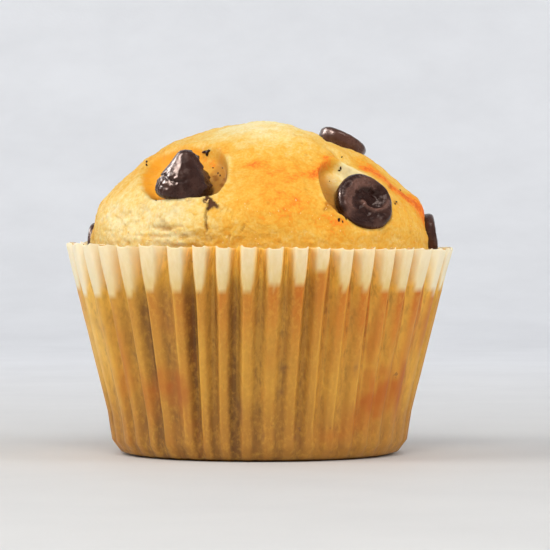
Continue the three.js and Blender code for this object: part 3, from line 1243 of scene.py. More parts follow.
@dataclass
class Cake:
    """The baked cake: a dome above the paper, moulded by the pleats below it.

    Its outline is radius and height, from the top down. A swell is a wave, its phase and its height. A
    spot is X, Z, radius and strength: one above `sooty` is chocolate, and a weaker one darkens the crust
    through the painted shade mark, giving soft brown specks and painted shade below the front chips. A
    mottle is a width and a strength. A torn or glowing part starts at a bearing and takes some degrees to
    reach its full share.
    """

    pleats: Pleats
    wall: Wall
    outline: tuple[Pair, ...] = (
        (0, 62.1), (9, 61.2), (17.4, 57.8), (24.8, 52.2), (29.8, 47.2), (31.5, 43), (31.7, 38.9),
    )
    rings: int = 150
    blended_rings: int = 60
    swells: tuple[tuple[Triple, float, float], ...] = (
        ((0.19, 0.07, 0.11), 0.6, 0.32),
        ((-0.08, 0.23, 0.15), 2.1, 0.28),
        ((0.31, -0.17, 0.24), 4, 0.2),
        ((0.12, 0.36, -0.29), 1.2, 0.16),
    )
    swell_foot: float = 40.0
    swell_fade: float = 4.0
    hollows: tuple[Hollow, ...] = each(
        Hollow,
        (58, 57.3, 7.5, 1.1, 0.3), (152, 51.5, 7.6, 1.8, 0.35), (-128, 54, 7.4, 1.9, 0.35),
        (-170, 46, 7, 1.2, 0.3), (-26, 44.6, 8.5, -0.9, 0.2), (-30, 46.2, 5, -0.35, 0.1),
        (-88, 51.5, 6.5, 1, 0.2), (57, 54.8, 6.5, 1, 0.1), (-88, 60.4, 7.5, 0.8, 0.1),
        (80, 51, 6, 0.5, 0.1), (92, 60.8, 12, 1.1, 0.2), (90, 61.6, 6, 0.9, 0.2),
        (85, 46.5, 5, -0.6, 0.2), (8, 50, 11, -0.5, 0.2),
    )
    pits: tuple[Pit, ...] = (
        Pit(2.3, (
            (-76, 54.6, 3.4), (-62, 51.6, 3), (-48, 48.7, 2), (-41, 47.5, 1), (-34, 47.1, 0.6),
            (-26, 47.2, 0.6), (-19.5, 47.7, 0.6), (-15.5, 48.6, 0.7), (-13.6, 50.8, 0.8), (-14, 53, 0.8),
            (-17, 55.4, 0.9), (-25, 57.2, 1.8), (-40, 58, 2.6), (-60, 57.6, 3), (-74, 56.6, 3.4),
        ), 0.3, 0.7),
        Pit(2.5, (
            (27.3, 53.2, 0.6), (24.8, 51.2, 0.5), (23.8, 49.3, 0.5), (24, 47.7, 0.5), (25.6, 46.3, 0.6),
            (28, 45, 0.7), (33, 44.2, 0.9), (42, 44.4, 1.4), (50, 46, 1.6), (55, 48.5, 1.8),
            (56, 51.3, 2), (52, 53.6, 2.2), (46, 54.8, 1.6), (40, 55, 1), (32, 54.5, 0.7),
        ), 0.2, 0.12),
    )
    tints: tuple[Tint, ...] = each(
        Tint,
        (5, 53.5, 9, 0.14), (10, 48, 9, 0.17), (0, 44, 8, 0.06), (-11, 59.2, 3.2, 0.22),
        (-2, 54.3, 2.2, 0.2), (21, 53, 4.5, 0.2), (-20, 57, 3, 0.26), (-80, 56, 4, 0.15),
        (-55, 43.9, 13, -0.35), (-30, 43.5, 9, -0.31), (-15, 44.5, 5, 0.08), (27, 43.2, 4.5, 0.28),
        # The first tint here paints the top of the dome paler: paler crust, and a painted highlight there.
        (0, 61.8, 16, -0.46), (-4, 59.6, 8, -0.16), (49, 53.8, 5, -0.66), (70, 45, 9, 0.09),
        (140, 55, 9, 0.2), (-150, 57, 8, 0.22), (-110, 48, 9, -0.2), (170, 44, 10, -0.22),
    )
    streaks: tuple[Streak, ...] = (
        Streak(((26, 52), (30, 53.7), (36, 55), (44, 55.6)), 1.25, bake=0.46),
        Streak(((65, 53.9), (67, 52.2), (70, 50.2), (75, 47.8), (82, 45.4)), 2.8, bake=0.46),
        # The crack below chip_front_left, darkened as painted shade.
        Streak(((-17.5, 46.4), (-17.7, 44.8), (-17.4, 43.6), (-17, 42)), 0.38, depth=0.5, soot=0.4),
        Streak(
            ((6.5, 50.8), (8.4, 50.4), (8.8, 49.6), (7.6, 48.7), (5.4, 48.8), (4.6, 49.8), (5.6, 50.7)),
            0.3, depth=0.12,
        ),
        Streak(((-4.2, 43.4), (-5.4, 42.5), (-6, 41.9)), 0.28, depth=0.35, crumb=0.7),
        Streak(((-9.3, 41.4), (-10, 40.4)), 0.25, depth=0.3, crumb=0.6),
        Streak(((-38, 42.6), (-31, 42.2), (-25, 42.7)), 0.5, depth=0.35, crumb=0.5),
        Streak(((-46, 41.2), (-38, 40.9), (-30, 41)), 0.4, depth=0.3, crumb=0.35),
    )
    spots: tuple[tuple[float, float, float, float], ...] = (
        (-9.3, 48, 0.55, 1), (-9.1, 47.4, 0.6, 1), (-8.8, 46.9, 0.7, 1), (-8.4, 46.3, 0.7, 1),
        (-9.7, 47, 0.5, 0.9), (-7.6, 46.1, 0.5, 0.9), (-8.9, 45.9, 0.5, 0.9), (-9.3, 42.7, 0.5, 0.7),
        (-8.5, 53.3, 0.6, 0.75), (-6.8, 53.2, 0.4, 0.7), (-7.4, 52.3, 0.5, 0.75), (-9.4, 53.9, 0.4, 0.5),
        (24.4, 50.4, 0.5, 0.6), (24.9, 47, 0.6, 0.6), (13.4, 47.3, 1.7, 0.55), (12.6, 46.4, 1, 0.4),
        (-17.2, 43.4, 0.9, 0.35), (-16.3, 42.6, 0.8, 0.35),
    )
    sooty: float = 0.8
    crumbly_top: float = 41.5
    crumbly_rise: float = 4.3
    crumbly_fade: float = 2.6
    bump_height: float = 0.24
    fine_height: float = 0.11
    pore_depth: float = 0.14
    pore_spacing: float = 1.9
    pore_rarity: float = 0.55
    top_height: float = 0.5
    top_band: Pair = (50.0, 57.0)
    lump_height: float = 0.20
    crack_depth: float = 0.10
    shade_depth: float = 0.16
    ruffle_height: float = 0.2
    plain_bake: float = 0.50
    mottles: tuple[Pair, ...] = ((8.0, 0.10), (2.4, 0.08))
    bump_bake: float = 0.05
    crumbly_bake: float = 0.22
    lip_bake: float = 0.12
    floor_share: float = 0.85
    bare_lumps: float = 0.25
    bare_bumps: float = 0.15
    pit_reach: float = 22.0
    pit_waver: float = 0.16
    torn_from: Pair = (-27.0, 5.0)
    torn_until: Pair = (30.0, 12.0)
    glow_until: Pair = (-34.0, 6.0)
    contact_radius: float = 33.9
    slump: tuple[Pair, ...] = ((33.0, 32.5), (32.2, 35.0))
    floor_height: float = 0.7
    floor_inset: float = 1.0
    melt_search: float = 14.0
    melt_reach: float = 1.2
    melt_most: float = 0.75
    beds: tuple[Bed, ...] = ()
    chips: tuple[BVHTree, ...] = ()
    held_heights: tuple[float, ...] = (38.3, 37.4, 36.2, 34.8, 33.4, 32.2, 30.9, 28, 20, 12, 8, 4.5, 2.7)
    gap: float = 0.3
    hidden_bake: float = 0.42
    turbulence: Turbulence = field(default_factory=lambda: Turbulence(11))
    cells: Cells = field(default_factory=lambda: Cells(12))

    def __post_init__(self) -> None:
        """Works out the dome's curve once."""
        self.curve = smooth_path(np.array(self.outline, float))

    def on_dome(self, bearing: float, height: float) -> Array:
        """The place on the plain dome at a bearing and height."""
        radius = np.interp(-height, -self.curve[:, 1], self.curve[:, 0])
        return polar(radius, bearing, height)

    def free_radius(self, height: Array) -> Array:
        """How wide the cake would stand inside the paper if nothing held it."""
        radii, heights = zip((self.contact_radius, self.wall.contact_height), *self.slump, self.outline[-1])
        return np.interp(height, heights, radii)

    def _dome_grid(self) -> tuple[Array, Array, Array]:
        """The dome's points before any relief.

        Returns:
            Bearing, place and outward normal of each point, ring after ring from the top.
        """
        points = self.curve[np.append(True, np.any(np.diff(self.curve, axis=0) != 0.0, axis=1))]
        along = lengths_along(points)
        tangents = np.gradient(points, along, axis=0)
        columns = len(self.pleats.bearings)
        closed = np.append(self.pleats.bearings, self.pleats.bearings[0] + 360.0)
        bearings, shares = [np.zeros(1)], [np.zeros(1)]
        for n in range(1, self.rings + 1):
            part = np.arange(6 * n) / (6 * n)
            drift = ease(n, self.rings - self.blended_rings, self.rings)
            pleated = np.interp(part * columns, np.arange(columns + 1), closed)
            even = closed[0] + 360.0 * part
            bearings.append(even + drift * (pleated - even))
            shares.append(np.full(6 * n, n / self.rings))
        bearing = np.concatenate(bearings)
        distance = np.concatenate(shares) * along[-1]
        radius, height = (np.interp(distance, along, points[:, axis]) for axis in (0, 1))
        run, fall = (np.interp(distance, along, tangents[:, axis]) for axis in (0, 1))
        normal = polar(-fall, bearing, run)
        normal[0] = (0.0, 0.0, 1.0)
        return bearing, polar(radius, bearing, height), unit(normal)

    def _swell(self, place: Array) -> Array:
        """The slow lumps of the dome."""
        total = sum(height * np.sin(place @ np.array(wave) + phase) for wave, phase, height in self.swells)
        return total * ease(place[:, 2], self.swell_foot, self.swell_foot + self.swell_fade)

    def _away(self, place: Array, mark: Hollow | Tint) -> Array:
        """How far each point lies from a round mark's middle, in its radii."""
        return np.linalg.norm(place - self.on_dome(mark.bearing, mark.height), axis=1) / mark.radius

    def _hollow(self, place: Array) -> Array:
        """Depth of all the round hollows at each point.

        Args:
            place: The dome's points.

        Returns:
            One depth for each.
        """
        total = np.zeros(len(place))
        for hollow in self.hollows:
            total += hollow.depth * (1.0 - ease(self._away(place, hollow), hollow.floor, 1.0))
        return total

    def _pit(self, place: Array, bearing: Array, pit: Pit) -> tuple[Array, Array]:
        """How far inside a pit each point is.

        Args:
            place: The dome's points.
            bearing: Their bearings.
            pit: The pit.

        Returns:
            The pit's share at each point, 1 on its floor, and the raised lip's share.
        """
        corners = smooth_path(np.array([*pit.corners, pit.corners[0]], float), 5)
        path = np.array([self.on_dome(turn, height) for turn, height, _ in corners])
        near = np.linalg.norm(place - path.mean(axis=0), axis=1) < self.pit_reach
        turns, heights = turn_between(bearing[near], 0.0), place[near, 2]
        inside = np.zeros(near.sum(), bool)
        for (turn_a, height_a, _), (turn_b, height_b, _) in zip(corners[:-1], corners[1:]):
            spans = (height_a > heights) != (height_b > heights)
            share = (heights - height_a) / (height_b - height_a if height_b != height_a else 1.0)
            inside ^= spans & (turns < turn_a + share * (turn_b - turn_a))
        away, along = distance_to_path(place[near], path)
        soft = np.interp(along, np.linspace(0.0, 1.0, len(corners)), corners[:, 2])
        depth = np.where(inside, away, -away)
        depth += self.pit_waver * self.turbulence.fractal(place[near], 1.8)
        share, lip = np.zeros(len(place)), np.zeros(len(place))
        share[near] = ease(depth / soft, -0.1, 1.0)
        lip[near] = bell(depth, -0.35, 0.4) * (1.0 - ease(soft, 0.8, 1.3))
        return share, lip

    def _grain(self, place: Array, bearing: Array) -> dict[str, Array]:
        """The crust's own texture.

        Args:
            place: The dome's points.
            bearing: Their bearings.

        Returns:
            The height of the fine relief, and how much there is of each thing that makes it.
        """
        noise = self.turbulence
        height = place[:, 2]
        left = ease(-turn_between(bearing, 8.0), 0.0, 25.0)
        top = self.crumbly_top + self.crumbly_rise * left
        low = 1.0 - ease(height + 1.2 * noise.fractal(place, 6.0), top, top + self.crumbly_fade)
        crumbly = low * (0.4 + 0.6 * left)
        stretched = place * np.array([0.62, 0.62, 1.0])
        _, edge, number = self.cells.at(stretched + 0.3 * noise.at(place, 0.9)[:, None], 1.0)
        lumps = (number - 0.5) * ease(edge, 0.0, 0.3)
        cracks = (1.0 - ease(edge, 0.02, 0.16)) * ease(noise.at(place, 2.2), -0.1, 0.5)
        shaded = ease(noise.fractal(stretched + 12.0, (2.6, 2.6, 1.6), 3), 0.12, 0.55)
        pore_away, _, pore_number = self.cells.at(place + 50.0, self.pore_spacing)
        pores = (1.0 - ease(pore_away, 0.08, 0.26)) * (pore_number > self.pore_rarity)
        bumps = noise.fractal(place, 1.7, 3)
        lift = self.bump_height * bumps + self.fine_height * noise.fractal(place, 0.8, 2)
        lift -= self.pore_depth * pores
        lift += self.top_height * noise.fractal(place + 3.0, 5.0, 2) * ease(height, *self.top_band)
        torn = self.lump_height * lumps - self.crack_depth * cracks - self.shade_depth * shaded
        lift += crumbly * (torn + self.ruffle_height * noise.fractal(stretched, 2.6, 3))
        return {
            "height": lift, "crumbly": crumbly, "lumps": lumps, "cracks": cracks * crumbly,
            "pores": pores, "bumps": bumps, "shaded": shaded * crumbly,
        }

    def relief(self, place: Array, bearing: Array) -> tuple[Array, dict[str, Array]]:
        """Everything that lifts or lowers the dome, and what colours it.

        Args:
            place: The dome's points.
            bearing: Their bearings.

        Returns:
            The lift along the normal, and the finish attributes.
        """
        noise = self.turbulence
        grain = self._grain(place, bearing)
        crumbly, lumps, bumps = grain["crumbly"], grain["lumps"], grain["bumps"]
        lift = self._swell(place) - self._hollow(place) + grain["height"]
        right = ease(turn_between(bearing, 0.0), 0.0, 35.0)
        bake = np.full(len(place), self.plain_bake)
        for size, amount in self.mottles:
            bake += amount * noise.fractal(place, size)
        bake += self.bump_bake * bumps
        # The crumbly zone is paler, and its raised lumps paler still as a painted highlight.
        bake -= self.crumbly_bake * crumbly * (lumps + 0.35)
        patches = ease(noise.fractal(place, (5.0, 5.0, 3.0)), 0.0, 0.5)
        crumb = crumbly * (0.04 + 0.22 * patches) * (1.0 - 0.7 * right)
        # Painted shade in the cracks, the pores and the dips of the crumbly zone.
        hollow = 0.3 * grain["cracks"] + 0.3 * grain["pores"] + 0.22 * grain["shaded"]
        soot = np.zeros(len(place))
        for tint in self.tints:
            away = self._away(place, tint) + 0.12 * noise.fractal(place + 5.0, 3.0)
            bake += tint.amount * np.exp(-2.0 * away**2)
        insides = []
        for pit in self.pits:
            inside, lip = self._pit(place, bearing, pit)
            lift += pit.lip * lip - pit.depth * inside
            # Painted shade on each pit's sloping wall.
            hollow += 0.12 * inside * (1.0 - inside) * 4.0
            bake += inside * (pit.floor_bake - bake) * self.floor_share - self.lip_bake * lip
            insides.append(inside)
        wobble = 0.22 * np.stack([noise.at(place + 31.0 * n, 0.9) for n in range(3)], axis=1)
        for streak in self.streaks:
            path = np.array([self.on_dome(*corner) for corner in streak.corners])
            away, along = distance_to_path(place + wobble, path)
            taper = streak.width * (0.45 + 0.55 * np.sin(np.pi * np.clip(along, 0.08, 0.92)))
            share = 1.0 - ease(away, 0.35 * taper, taper)
            bake += streak.bake * bell(away, 0.0, streak.width)
            lift -= streak.depth * share
            crumb += streak.crumb * share
            soot += streak.soot * share
        ragged = 1.0 + 0.8 * noise.fractal(place + 8.0, 0.8)
        # Spots above sooty are chocolate; the weaker ones darken the crust as painted shade.
        for x, z, radius, dark in self.spots:
            away = np.hypot(place[:, 0] - x, place[:, 2] - z) / radius * ragged
            darkened = soot if dark > self.sooty else hollow
            darkened += dark * (1.0 - ease(away, 0.55, 1.15)) * (place[:, 1] < 0.0)
        torn, until, glowing = (
            ease(sign * turn_between(bearing, start), 0.0, run)
            for sign, (start, run) in ((1, self.torn_from), (1, self.torn_until), (-1, self.glow_until))
        )
        bare = insides[0] * torn + insides[1] * (1.0 - until)
        lift += bare * (self.bare_lumps * lumps + self.bare_bumps * bumps)
        # Toasted orange on pit 1's left floor, brightened as painted light.
        glow = ease(insides[0], 0.12, 0.5) * glowing
        marks = {"bake": bake, "crumb": crumb + bare, "hollow": hollow, "soot": soot, "glow": glow}
        return lift, {name: np.clip(values, 0.0, 1.0) for name, values in marks.items()}

    def build(self) -> Thing:
        """Makes the cake's mesh.

        Returns:
            The object, with its finish attributes.
        """
        bearing, place, normal = self._dome_grid()
        lift, marks = self.relief(place, bearing)
        foot = 1.0 - ease(place[:, 2], self.outline[-1][1], self.outline[-1][1] + 1.0)
        dome = place + normal * (lift * (1.0 - foot))[:, None]
        for bed in self.beds:
            dome = dome - normal * bed.cut(dome, normal)[:, None]
        # Melted chocolate round the chips, with painted shade where they meet the crust.
        marks["soot"] = np.maximum(marks["soot"], self._melt_and_contact_shade(dome))
        mesh = RingMesh()
        ends = np.cumsum([0, 1] + [6 * n for n in range(1, self.rings + 1)])
        rings = [mesh.ring(dome[a:b]) for a, b in zip(ends[:-1], ends[1:])]
        mesh.fan(int(rings[0][0]), rings[1], True)
        for inner, outer in zip(rings[1:-1], rings[2:]):
            mesh.grow(inner, outer)
        held = [mesh.ring(self._held_ring(height)) for height in self.held_heights]
        floor_radius = self.wall.corner[0][0] - self.floor_inset
        held.append(mesh.ring(polar(floor_radius, self.pleats.bearings, self.floor_height)))
        for upper, lower in zip([rings[-1], *held[:-1]], held):
            mesh.join(upper, lower)
        middle = mesh.ring(np.array([[0.0, 0.0, self.floor_height]]))
        mesh.fan(int(middle[0]), held[-1], False)
        piece = mesh.build("baked_cake")
        below = mesh.count - len(dome)
        set_attributes(piece.data, {
            name: np.append(values, np.full(below, self.hidden_bake if name == "bake" else 0.0))
            for name, values in marks.items()
        })
        return piece

    def _melt_and_contact_shade(self, place: Array) -> Array:
        """Where melted chocolate darkened the crust round the chips, with painted shade where they meet it.

        Args:
            place: The dome's points.

        Returns:
            A share for each point.
        """
        share = np.zeros(len(place))
        reach = np.maximum(0.3 + 0.22 * self.turbulence.fractal(place, 1.6), 0.05)
        for tree in self.chips:
            middle = np.array(tree.find_nearest(Vector(place.mean(axis=0)) * MM)[0]) / MM
            for n in np.flatnonzero(np.linalg.norm(place - middle, axis=1) < self.melt_search):
                away = tree.find_nearest(Vector(place[n] * MM), self.melt_reach * MM)[3]
                if away is not None:
                    share[n] = max(share[n], self.melt_most * math.exp(-((away / MM / reach[n]) ** 2)))
        return share

    def _held_ring(self, height: float) -> Array:
        """One ring of the cake inside the paper.

        Args:
            height: The ring's height.

        Returns:
            The ring's points.
        """
        paper = self.wall.radius(np.array(height)) - self.wall.offset(self.pleats, height) - self.gap
        radius = np.minimum(self.free_radius(np.array(height)), paper)
        leaning = self.pleats.leans * float(self.wall.fallen(np.array(height)))
        return polar(radius, self.pleats.bearings + leaning, height)


# --- The paper cup ---


@dataclass
class Patch:
    """A patch on the paper: bearing and height of its middle, half sizes in millimetres, strength."""

    bearing: float
    height: float
    half_width: float
    half_height: float
    amount: float


@dataclass
class PleatLook:
    """How one pleat is marked: its dry tongue, the paper under it and the valley after it.

    The foot is the height where the tongue ends. Low and high are how far it reaches towards the front, at
    its foot and at the paper's edge, as shares of the pleat's width. Shade darkens the valley after the
    pleat, with butter and with painted shade.
    """

    foot: float = 30.9
    low: float = 0.3
    high: float = 0.6
    orange: float = 0.3
    shade: float = 0.25
    sunny: float = 0.8


@dataclass
class PaperCup:
    """The pleated paper cup, swept from a ring of columns and a profile of rows.

    A band is two heights, and a turn two bearings, between which a mark comes in. The rows above the
    wall start at a height and end at a drop below the edge.
    """

    pleats: Pleats
    wall: Wall
    cake: Cake
    base_radii: tuple[float, ...] = (0.05, 8.0, 16.0, 21.0)
    foot_rows: tuple[float, ...] = (0.2, 0.6, 1.2, 1.9, 2.7, 3.6, 4.6, 5.7, 6.8, 8.0)
    wall_rows: tuple[float, float, int] = (9.6, 29.4, 19)
    upper_rows: tuple[float, float, int] = (30.5, 1.2, 7)
    rim_drops: tuple[float, ...] = (0.6, 0.25, 0.0)
    thickness: float = 0.14
    weld: float = 0.004
    crumple: float = 0.10
    crumple_scale: float = 210.0
    crumple_seed: float = 3.0
    crumple_climb: float = 500.0
    crumple_most: float = 2.0
    edge_wave: float = 0.22
    edge_lift: float = 0.6
    edge_seed: int = 5
    corner_lift: float = 0.3
    corner_band: Pair = (0.26, 0.07)
    front_looks: tuple[PleatLook, ...] = each(
        PleatLook,
        (29.6, 0.26, 0.60, 0, 0.2, 0.9), (29.7, 0.26, 0.62, 0, 0.5, 0.8),
        (29.8, 0.26, 0.64, 0.1, 0.65, 0.4), (30.1, 0.24, 0.60, 0.1, 1, 0.2),
        (30.7, 0.17, 0.55, 0.4, 0.5, 0), (30.8, 0.17, 0.47, 0.4, 0.8, 0),
        (30.8, 0.16, 0.44, 0.35, 0.6, 0.35), (30.9, 0.20, 0.40, 0.6, 1, 0.1),
        (31, 0.20, 0.34, 0.6, 0.55, 0.4), (31.7, 0.22, 0.42, 0.85, 0.38, 0.4),
        (32, 0.22, 0.45, 1, 0.35, 0.1), (34.5, 0.40, 0.44, 0.6, 0, 0.1),
        (31.3, 0.14, 0.50, 0.8, 0.1, 0.45), (31.3, 0.26, 0.56, 1, 0.2, 0.3),
        (31.1, 0.26, 0.58, 0.9, 0, 0.9), (30.6, 0.28, 0.60, 1, 0.1, 0.5),
        (30.9, 0.30, 0.62, 1, 0, 1), (30.3, 0.32, 0.64, 0.8, 0.1, 0.9),
    )
    looks_seed: int = 8
    middle_bearing: float = 0.75
    lit_right: Pair = (10.0, 28.0)
    lit_left: Pair = (32.0, 55.0)
    low_band: Pair = (4.0, 16.0)
    sunny_band: Pair = (6.0, 15.0)
    pale_turn: Pair = (40.0, 78.0)
    pale_most: float = 0.8
    through_turn: Pair = (58.0, 76.0)
    through_band: Pair = (10.0, 22.0)
    through_dry: float = 0.12
    through_upper: float = 0.5
    crease_turn: Pair = (8.0, 24.0)
    crease_band: Pair = (3.0, 8.0)
    crease_most: float = 0.55
    outer_reach: Pair = (0.22, 0.30)
    stains: tuple[Patch, ...] = each(
        Patch,
        (-30, 12.5, 2.4, 4.2, 0.85), (-36.5, 14.5, 2.6, 3.4, 0.7), (-44, 11, 2.4, 4, 0.5),
        (-53.5, 20, 1.6, 8, 0.5), (-57, 14, 2.6, 5, 0.6), (44, 11, 3.5, 6.6, 0.95),
        (52, 12.5, 3.2, 5.8, 0.95), (61, 12.5, 3.4, 6, 0.95), (36, 6.5, 3, 4, 0.4),
        (60, 18, 3, 6, 0.5), (41, 22, 1.6, 6, 0.55), (70, 24, 4, 5, 0.5),
        (28, 4.5, 3, 2, 0.5), (-150, 12, 7, 6, 0.6), (120, 20, 6, 6, 0.5), (170, 9, 6, 5, 0.55),
    )
    blotches: tuple[Patch, ...] = each(
        Patch,
        (-7.4, 9.6, 0.9, 3, 0.55), (-30.5, 12.5, 2.4, 3.8, 0.25), (7.9, 17.4, 0.9, 0.7, 0.6),
        (7.6, 12.8, 0.6, 0.8, 0.5), (-9.8, 4, 0.35, 0.3, 0.6), (1.2, 4.6, 0.3, 0.6, 0.5),
        (14, 4.4, 1.1, 1, 0.45), (34.5, 17.3, 0.7, 1.3, 0.6), (30.5, 5, 1.3, 0.35, 0.5),
        (-49, 19, 0.8, 1, 0.45), (-62, 23.5, 0.9, 1.4, 0.35), (-69, 24.5, 0.9, 1.3, 0.3),
        (95, 11, 1.6, 2.6, 0.5), (-120, 15, 1.8, 2.4, 0.5), (150, 22, 1.5, 2.2, 0.4),
    )
    # Painted shade in the deepest front valleys.
    darks: tuple[Patch, ...] = each(
        Patch,
        (-22.8, 22, 1.1, 10, 1), (-9.4, 12, 1, 6.5, 1), (8, 16, 0.9, 3, 0.3),
    )

    def _profile(self) -> Array:
        """Heights of the rows, from the middle of the base out and up to the edge.

        Returns:
            One row each of radius, height, depth, crispness and how far down the wall it is.
        """
        w = self.wall
        base = [(r, 0.0, 0.0, 0.0, 1.0) for r in (*self.base_radii, w.corner[0][0])]
        start, drop, count = self.upper_rows
        upper = np.linspace(start, w.rim_height - drop, count)
        rim = w.rim_height - np.array(self.rim_drops)
        climb = np.concatenate([self.foot_rows, np.linspace(*self.wall_rows), upper, rim])
        parts = (w.radius(climb), climb, w.depth(climb), w.crispness(climb), w.fallen(climb))
        return np.vstack([base, np.stack(parts, axis=1)])

    def _tree(self) -> Tree:
        """The sweep: a grid whose columns read the pleats and whose rows read the profile.

        Returns:
            The geometry node group.
        """
        sketch, given, out = new_group(
            "Pleated wall",
            "GeometryNodeTree",
            {
                "Pleats": ("Object", None),
                "Profile": ("Object", None),
                "Columns": ("Int", 900),
                "Rows": ("Int", 44),
                "Crumple": ("Float", 0.1 * MM),
                "Seed": ("Float", 3.0),
                "Paper": ("Material", None),
            },
            {"Geometry": "Geometry"},
        )
        rows = given.outputs["Rows"]
        grid = sketch.add("GeometryNodeMeshGrid")
        sketch.feed(grid, Vertices_X=given.outputs["Columns"], Vertices_Y=rows)
        index = sketch.add("GeometryNodeInputIndex").outputs[0]
        column = sketch.math("FLOOR", sketch.math("DIVIDE", sketch.math("ADD", index, 0.5), rows))
        row = sketch.math("SUBTRACT", index, sketch.math("MULTIPLY", column, rows))

        def read(name: str, where: object, label: str) -> Socket:
            """Reads a number that a rail carries.

            Args:
                name: The input that holds the rail.
                where: Which of its points.
                label: The number's name.

            Returns:
                The number.
            """
            info = sketch.feed(sketch.add("GeometryNodeObjectInfo"), Object=given.outputs[name])
            named = sketch.feed(sketch.add("GeometryNodeInputNamedAttribute", data_type="FLOAT"), Name=label)
            sample = sketch.add("GeometryNodeSampleIndex", data_type="FLOAT", domain="POINT")
            points, value = info.outputs["Geometry"], named.outputs["Attribute"]
            return sketch.feed(sample, Geometry=points, Value=value, Index=where).outputs[0]

        across = {
            label: read("Pleats", column, label)
            for label in ("bearing", "lean", "crisp", "soft", "edge", "fold", "number")
        }
        along = {
            label: read("Profile", row, label)
            for label in ("radius", "height", "depth", "folded", "fallen", "top")
        }
        leaning = sketch.math("MULTIPLY", across["lean"], along["fallen"])
        bearing = sketch.math("ADD", across["bearing"], leaning)
        change = sketch.math("SUBTRACT", across["crisp"], across["soft"])
        share = sketch.math("MULTIPLY_ADD", along["folded"], change, across["soft"])
        reach = sketch.math("SUBTRACT", along["radius"], sketch.math("MULTIPLY", along["depth"], share))
        x = sketch.math("MULTIPLY", reach, sketch.math("SINE", bearing))
        y = sketch.math("MULTIPLY", reach, sketch.math("MULTIPLY", sketch.math("COSINE", bearing), -1.0))
        z = sketch.math("MULTIPLY_ADD", along["top"], across["edge"], along["height"])
        where = sketch.result("ShaderNodeCombineXYZ", (x, y, z))
        crumple = sketch.add("ShaderNodeTexNoise", noise_dimensions="4D")
        sketch.feed(crumple, Vector=where, W=given.outputs["Seed"], Scale=self.crumple_scale, Detail=2.0)
        push = sketch.math("SUBTRACT", crumple.outputs[0], 0.5)
        push = sketch.math("MULTIPLY", push, given.outputs["Crumple"])
        above = sketch.math("MULTIPLY", along["height"], self.crumple_climb)
        above = sketch.math("MINIMUM", above, self.crumple_most)
        outward = sketch.result("ShaderNodeVectorMath", (where,), operation="NORMALIZE")
        shift = sketch.add("ShaderNodeVectorMath", operation="SCALE")
        sketch.feed(shift, Vector=outward, Scale=sketch.math("MULTIPLY", push, above))
        place = sketch.result("ShaderNodeVectorMath", (where, shift.outputs[0]), operation="ADD")
        moved = sketch.add("GeometryNodeSetPosition")
        made = sketch.feed(moved, Geometry=grid.outputs["Mesh"], Position=place).outputs[0]
        for label in ("fold", "number"):
            store = sketch.add("GeometryNodeStoreNamedAttribute", data_type="FLOAT", domain="POINT")
            made = sketch.feed(store, Geometry=made, Name=label, Value=across[label]).outputs[0]
        merged = sketch.add("GeometryNodeMergeByDistance")
        sketch.feed(merged, Geometry=made, Distance=self.weld * MM)
        return sketch.close(out, merged.outputs[0], given.outputs["Paper"])

    def _edge(self) -> Array:
        """How far each column's top stands above or below the wall's height.

        Returns:
            One distance in millimetres for each column.
        """
        pleats, w = self.pleats, self.wall
        draw = np.random.default_rng(self.edge_seed)
        tilt = draw.uniform(-1.0, 1.0, pleats.count)[pleats.number] * pleats.phase * 2.0
        lift = draw.uniform(-self.edge_lift, self.edge_lift, pleats.count)[pleats.number]
        slant = -w.rim_radius * np.sin(np.radians(pleats.bearings)) * math.tan(math.radians(w.rim_slant))
        corner = self.corner_lift * bell(np.abs(pleats.phase), *self.corner_band)
        return slant + corner - w.rim_dip * (1.0 - pleats.crisp()) + self.edge_wave * (tilt + lift)

    def build(self, material: Material) -> Thing:
        """Makes the cup.

        Args:
            material: The paper's finish.

        Returns:
            The object, with its finish attributes.
        """
        pleats = self.pleats
        radius, height, depth, folded, fallen = self._profile().T
        closed = np.append(np.arange(len(pleats.bearings)), 0)
        bearings = np.radians(pleats.bearings[closed])
        bearings[-1] += 2.0 * np.pi
        columns = {
            "bearing": bearings,
            "lean": np.radians(pleats.leans)[closed],
            "number": pleats.number[closed],
            "crisp": (pleats.crisp() * pleats.free)[closed],
            "soft": (pleats.soft() * pleats.held)[closed],
            "edge": self._edge()[closed] * MM,
            "fold": pleats.phase[closed],
        }
        rows = {
            "radius": radius * MM,
            "height": height * MM,
            "depth": depth * MM,
            "folded": folded,
            "fallen": fallen,
            "top": ease(height, self.wall.rim_height - 5.0, self.wall.rim_height),
        }
        settings = {
            "Pleats": rail("pleat_rail", np.zeros((len(closed), 3)), columns),
            "Profile": rail("profile_rail", np.zeros((len(height), 3)), rows),
            "Columns": len(closed),
            "Rows": len(height),
            "Crumple": self.crumple * MM,
            "Seed": self.crumple_seed,
            "Paper": material,
        }
        piece = grow_mesh("pleated_paper_cup", self._tree(), settings, self.thickness * MM)
        self._face_outwards(piece)
        self._paint(piece)
        return piece

    def _face_outwards(self, piece: Thing) -> None:
        """Turns the faces round if the cup came out inside out.

        Args:
            piece: The cup.
        """
        work = bmesh.new()
        work.from_mesh(piece.data)
        if work.calc_volume(signed=True) < 0.0:
            bmesh.ops.reverse_faces(work, faces=work.faces)
        work.to_mesh(piece.data)
        work.free()

    @staticmethod
    def _stored(mesh: bpy.types.Mesh, name: str) -> Array:
        """One of a mesh's vertex attributes.

        Args:
            mesh: The mesh.
            name: The attribute's name.

        Returns:
            One number for each vertex.
        """
        values = np.zeros(len(mesh.vertices), np.float32)
        mesh.attributes[name].data.foreach_get("value", values)
        return values.astype(float)

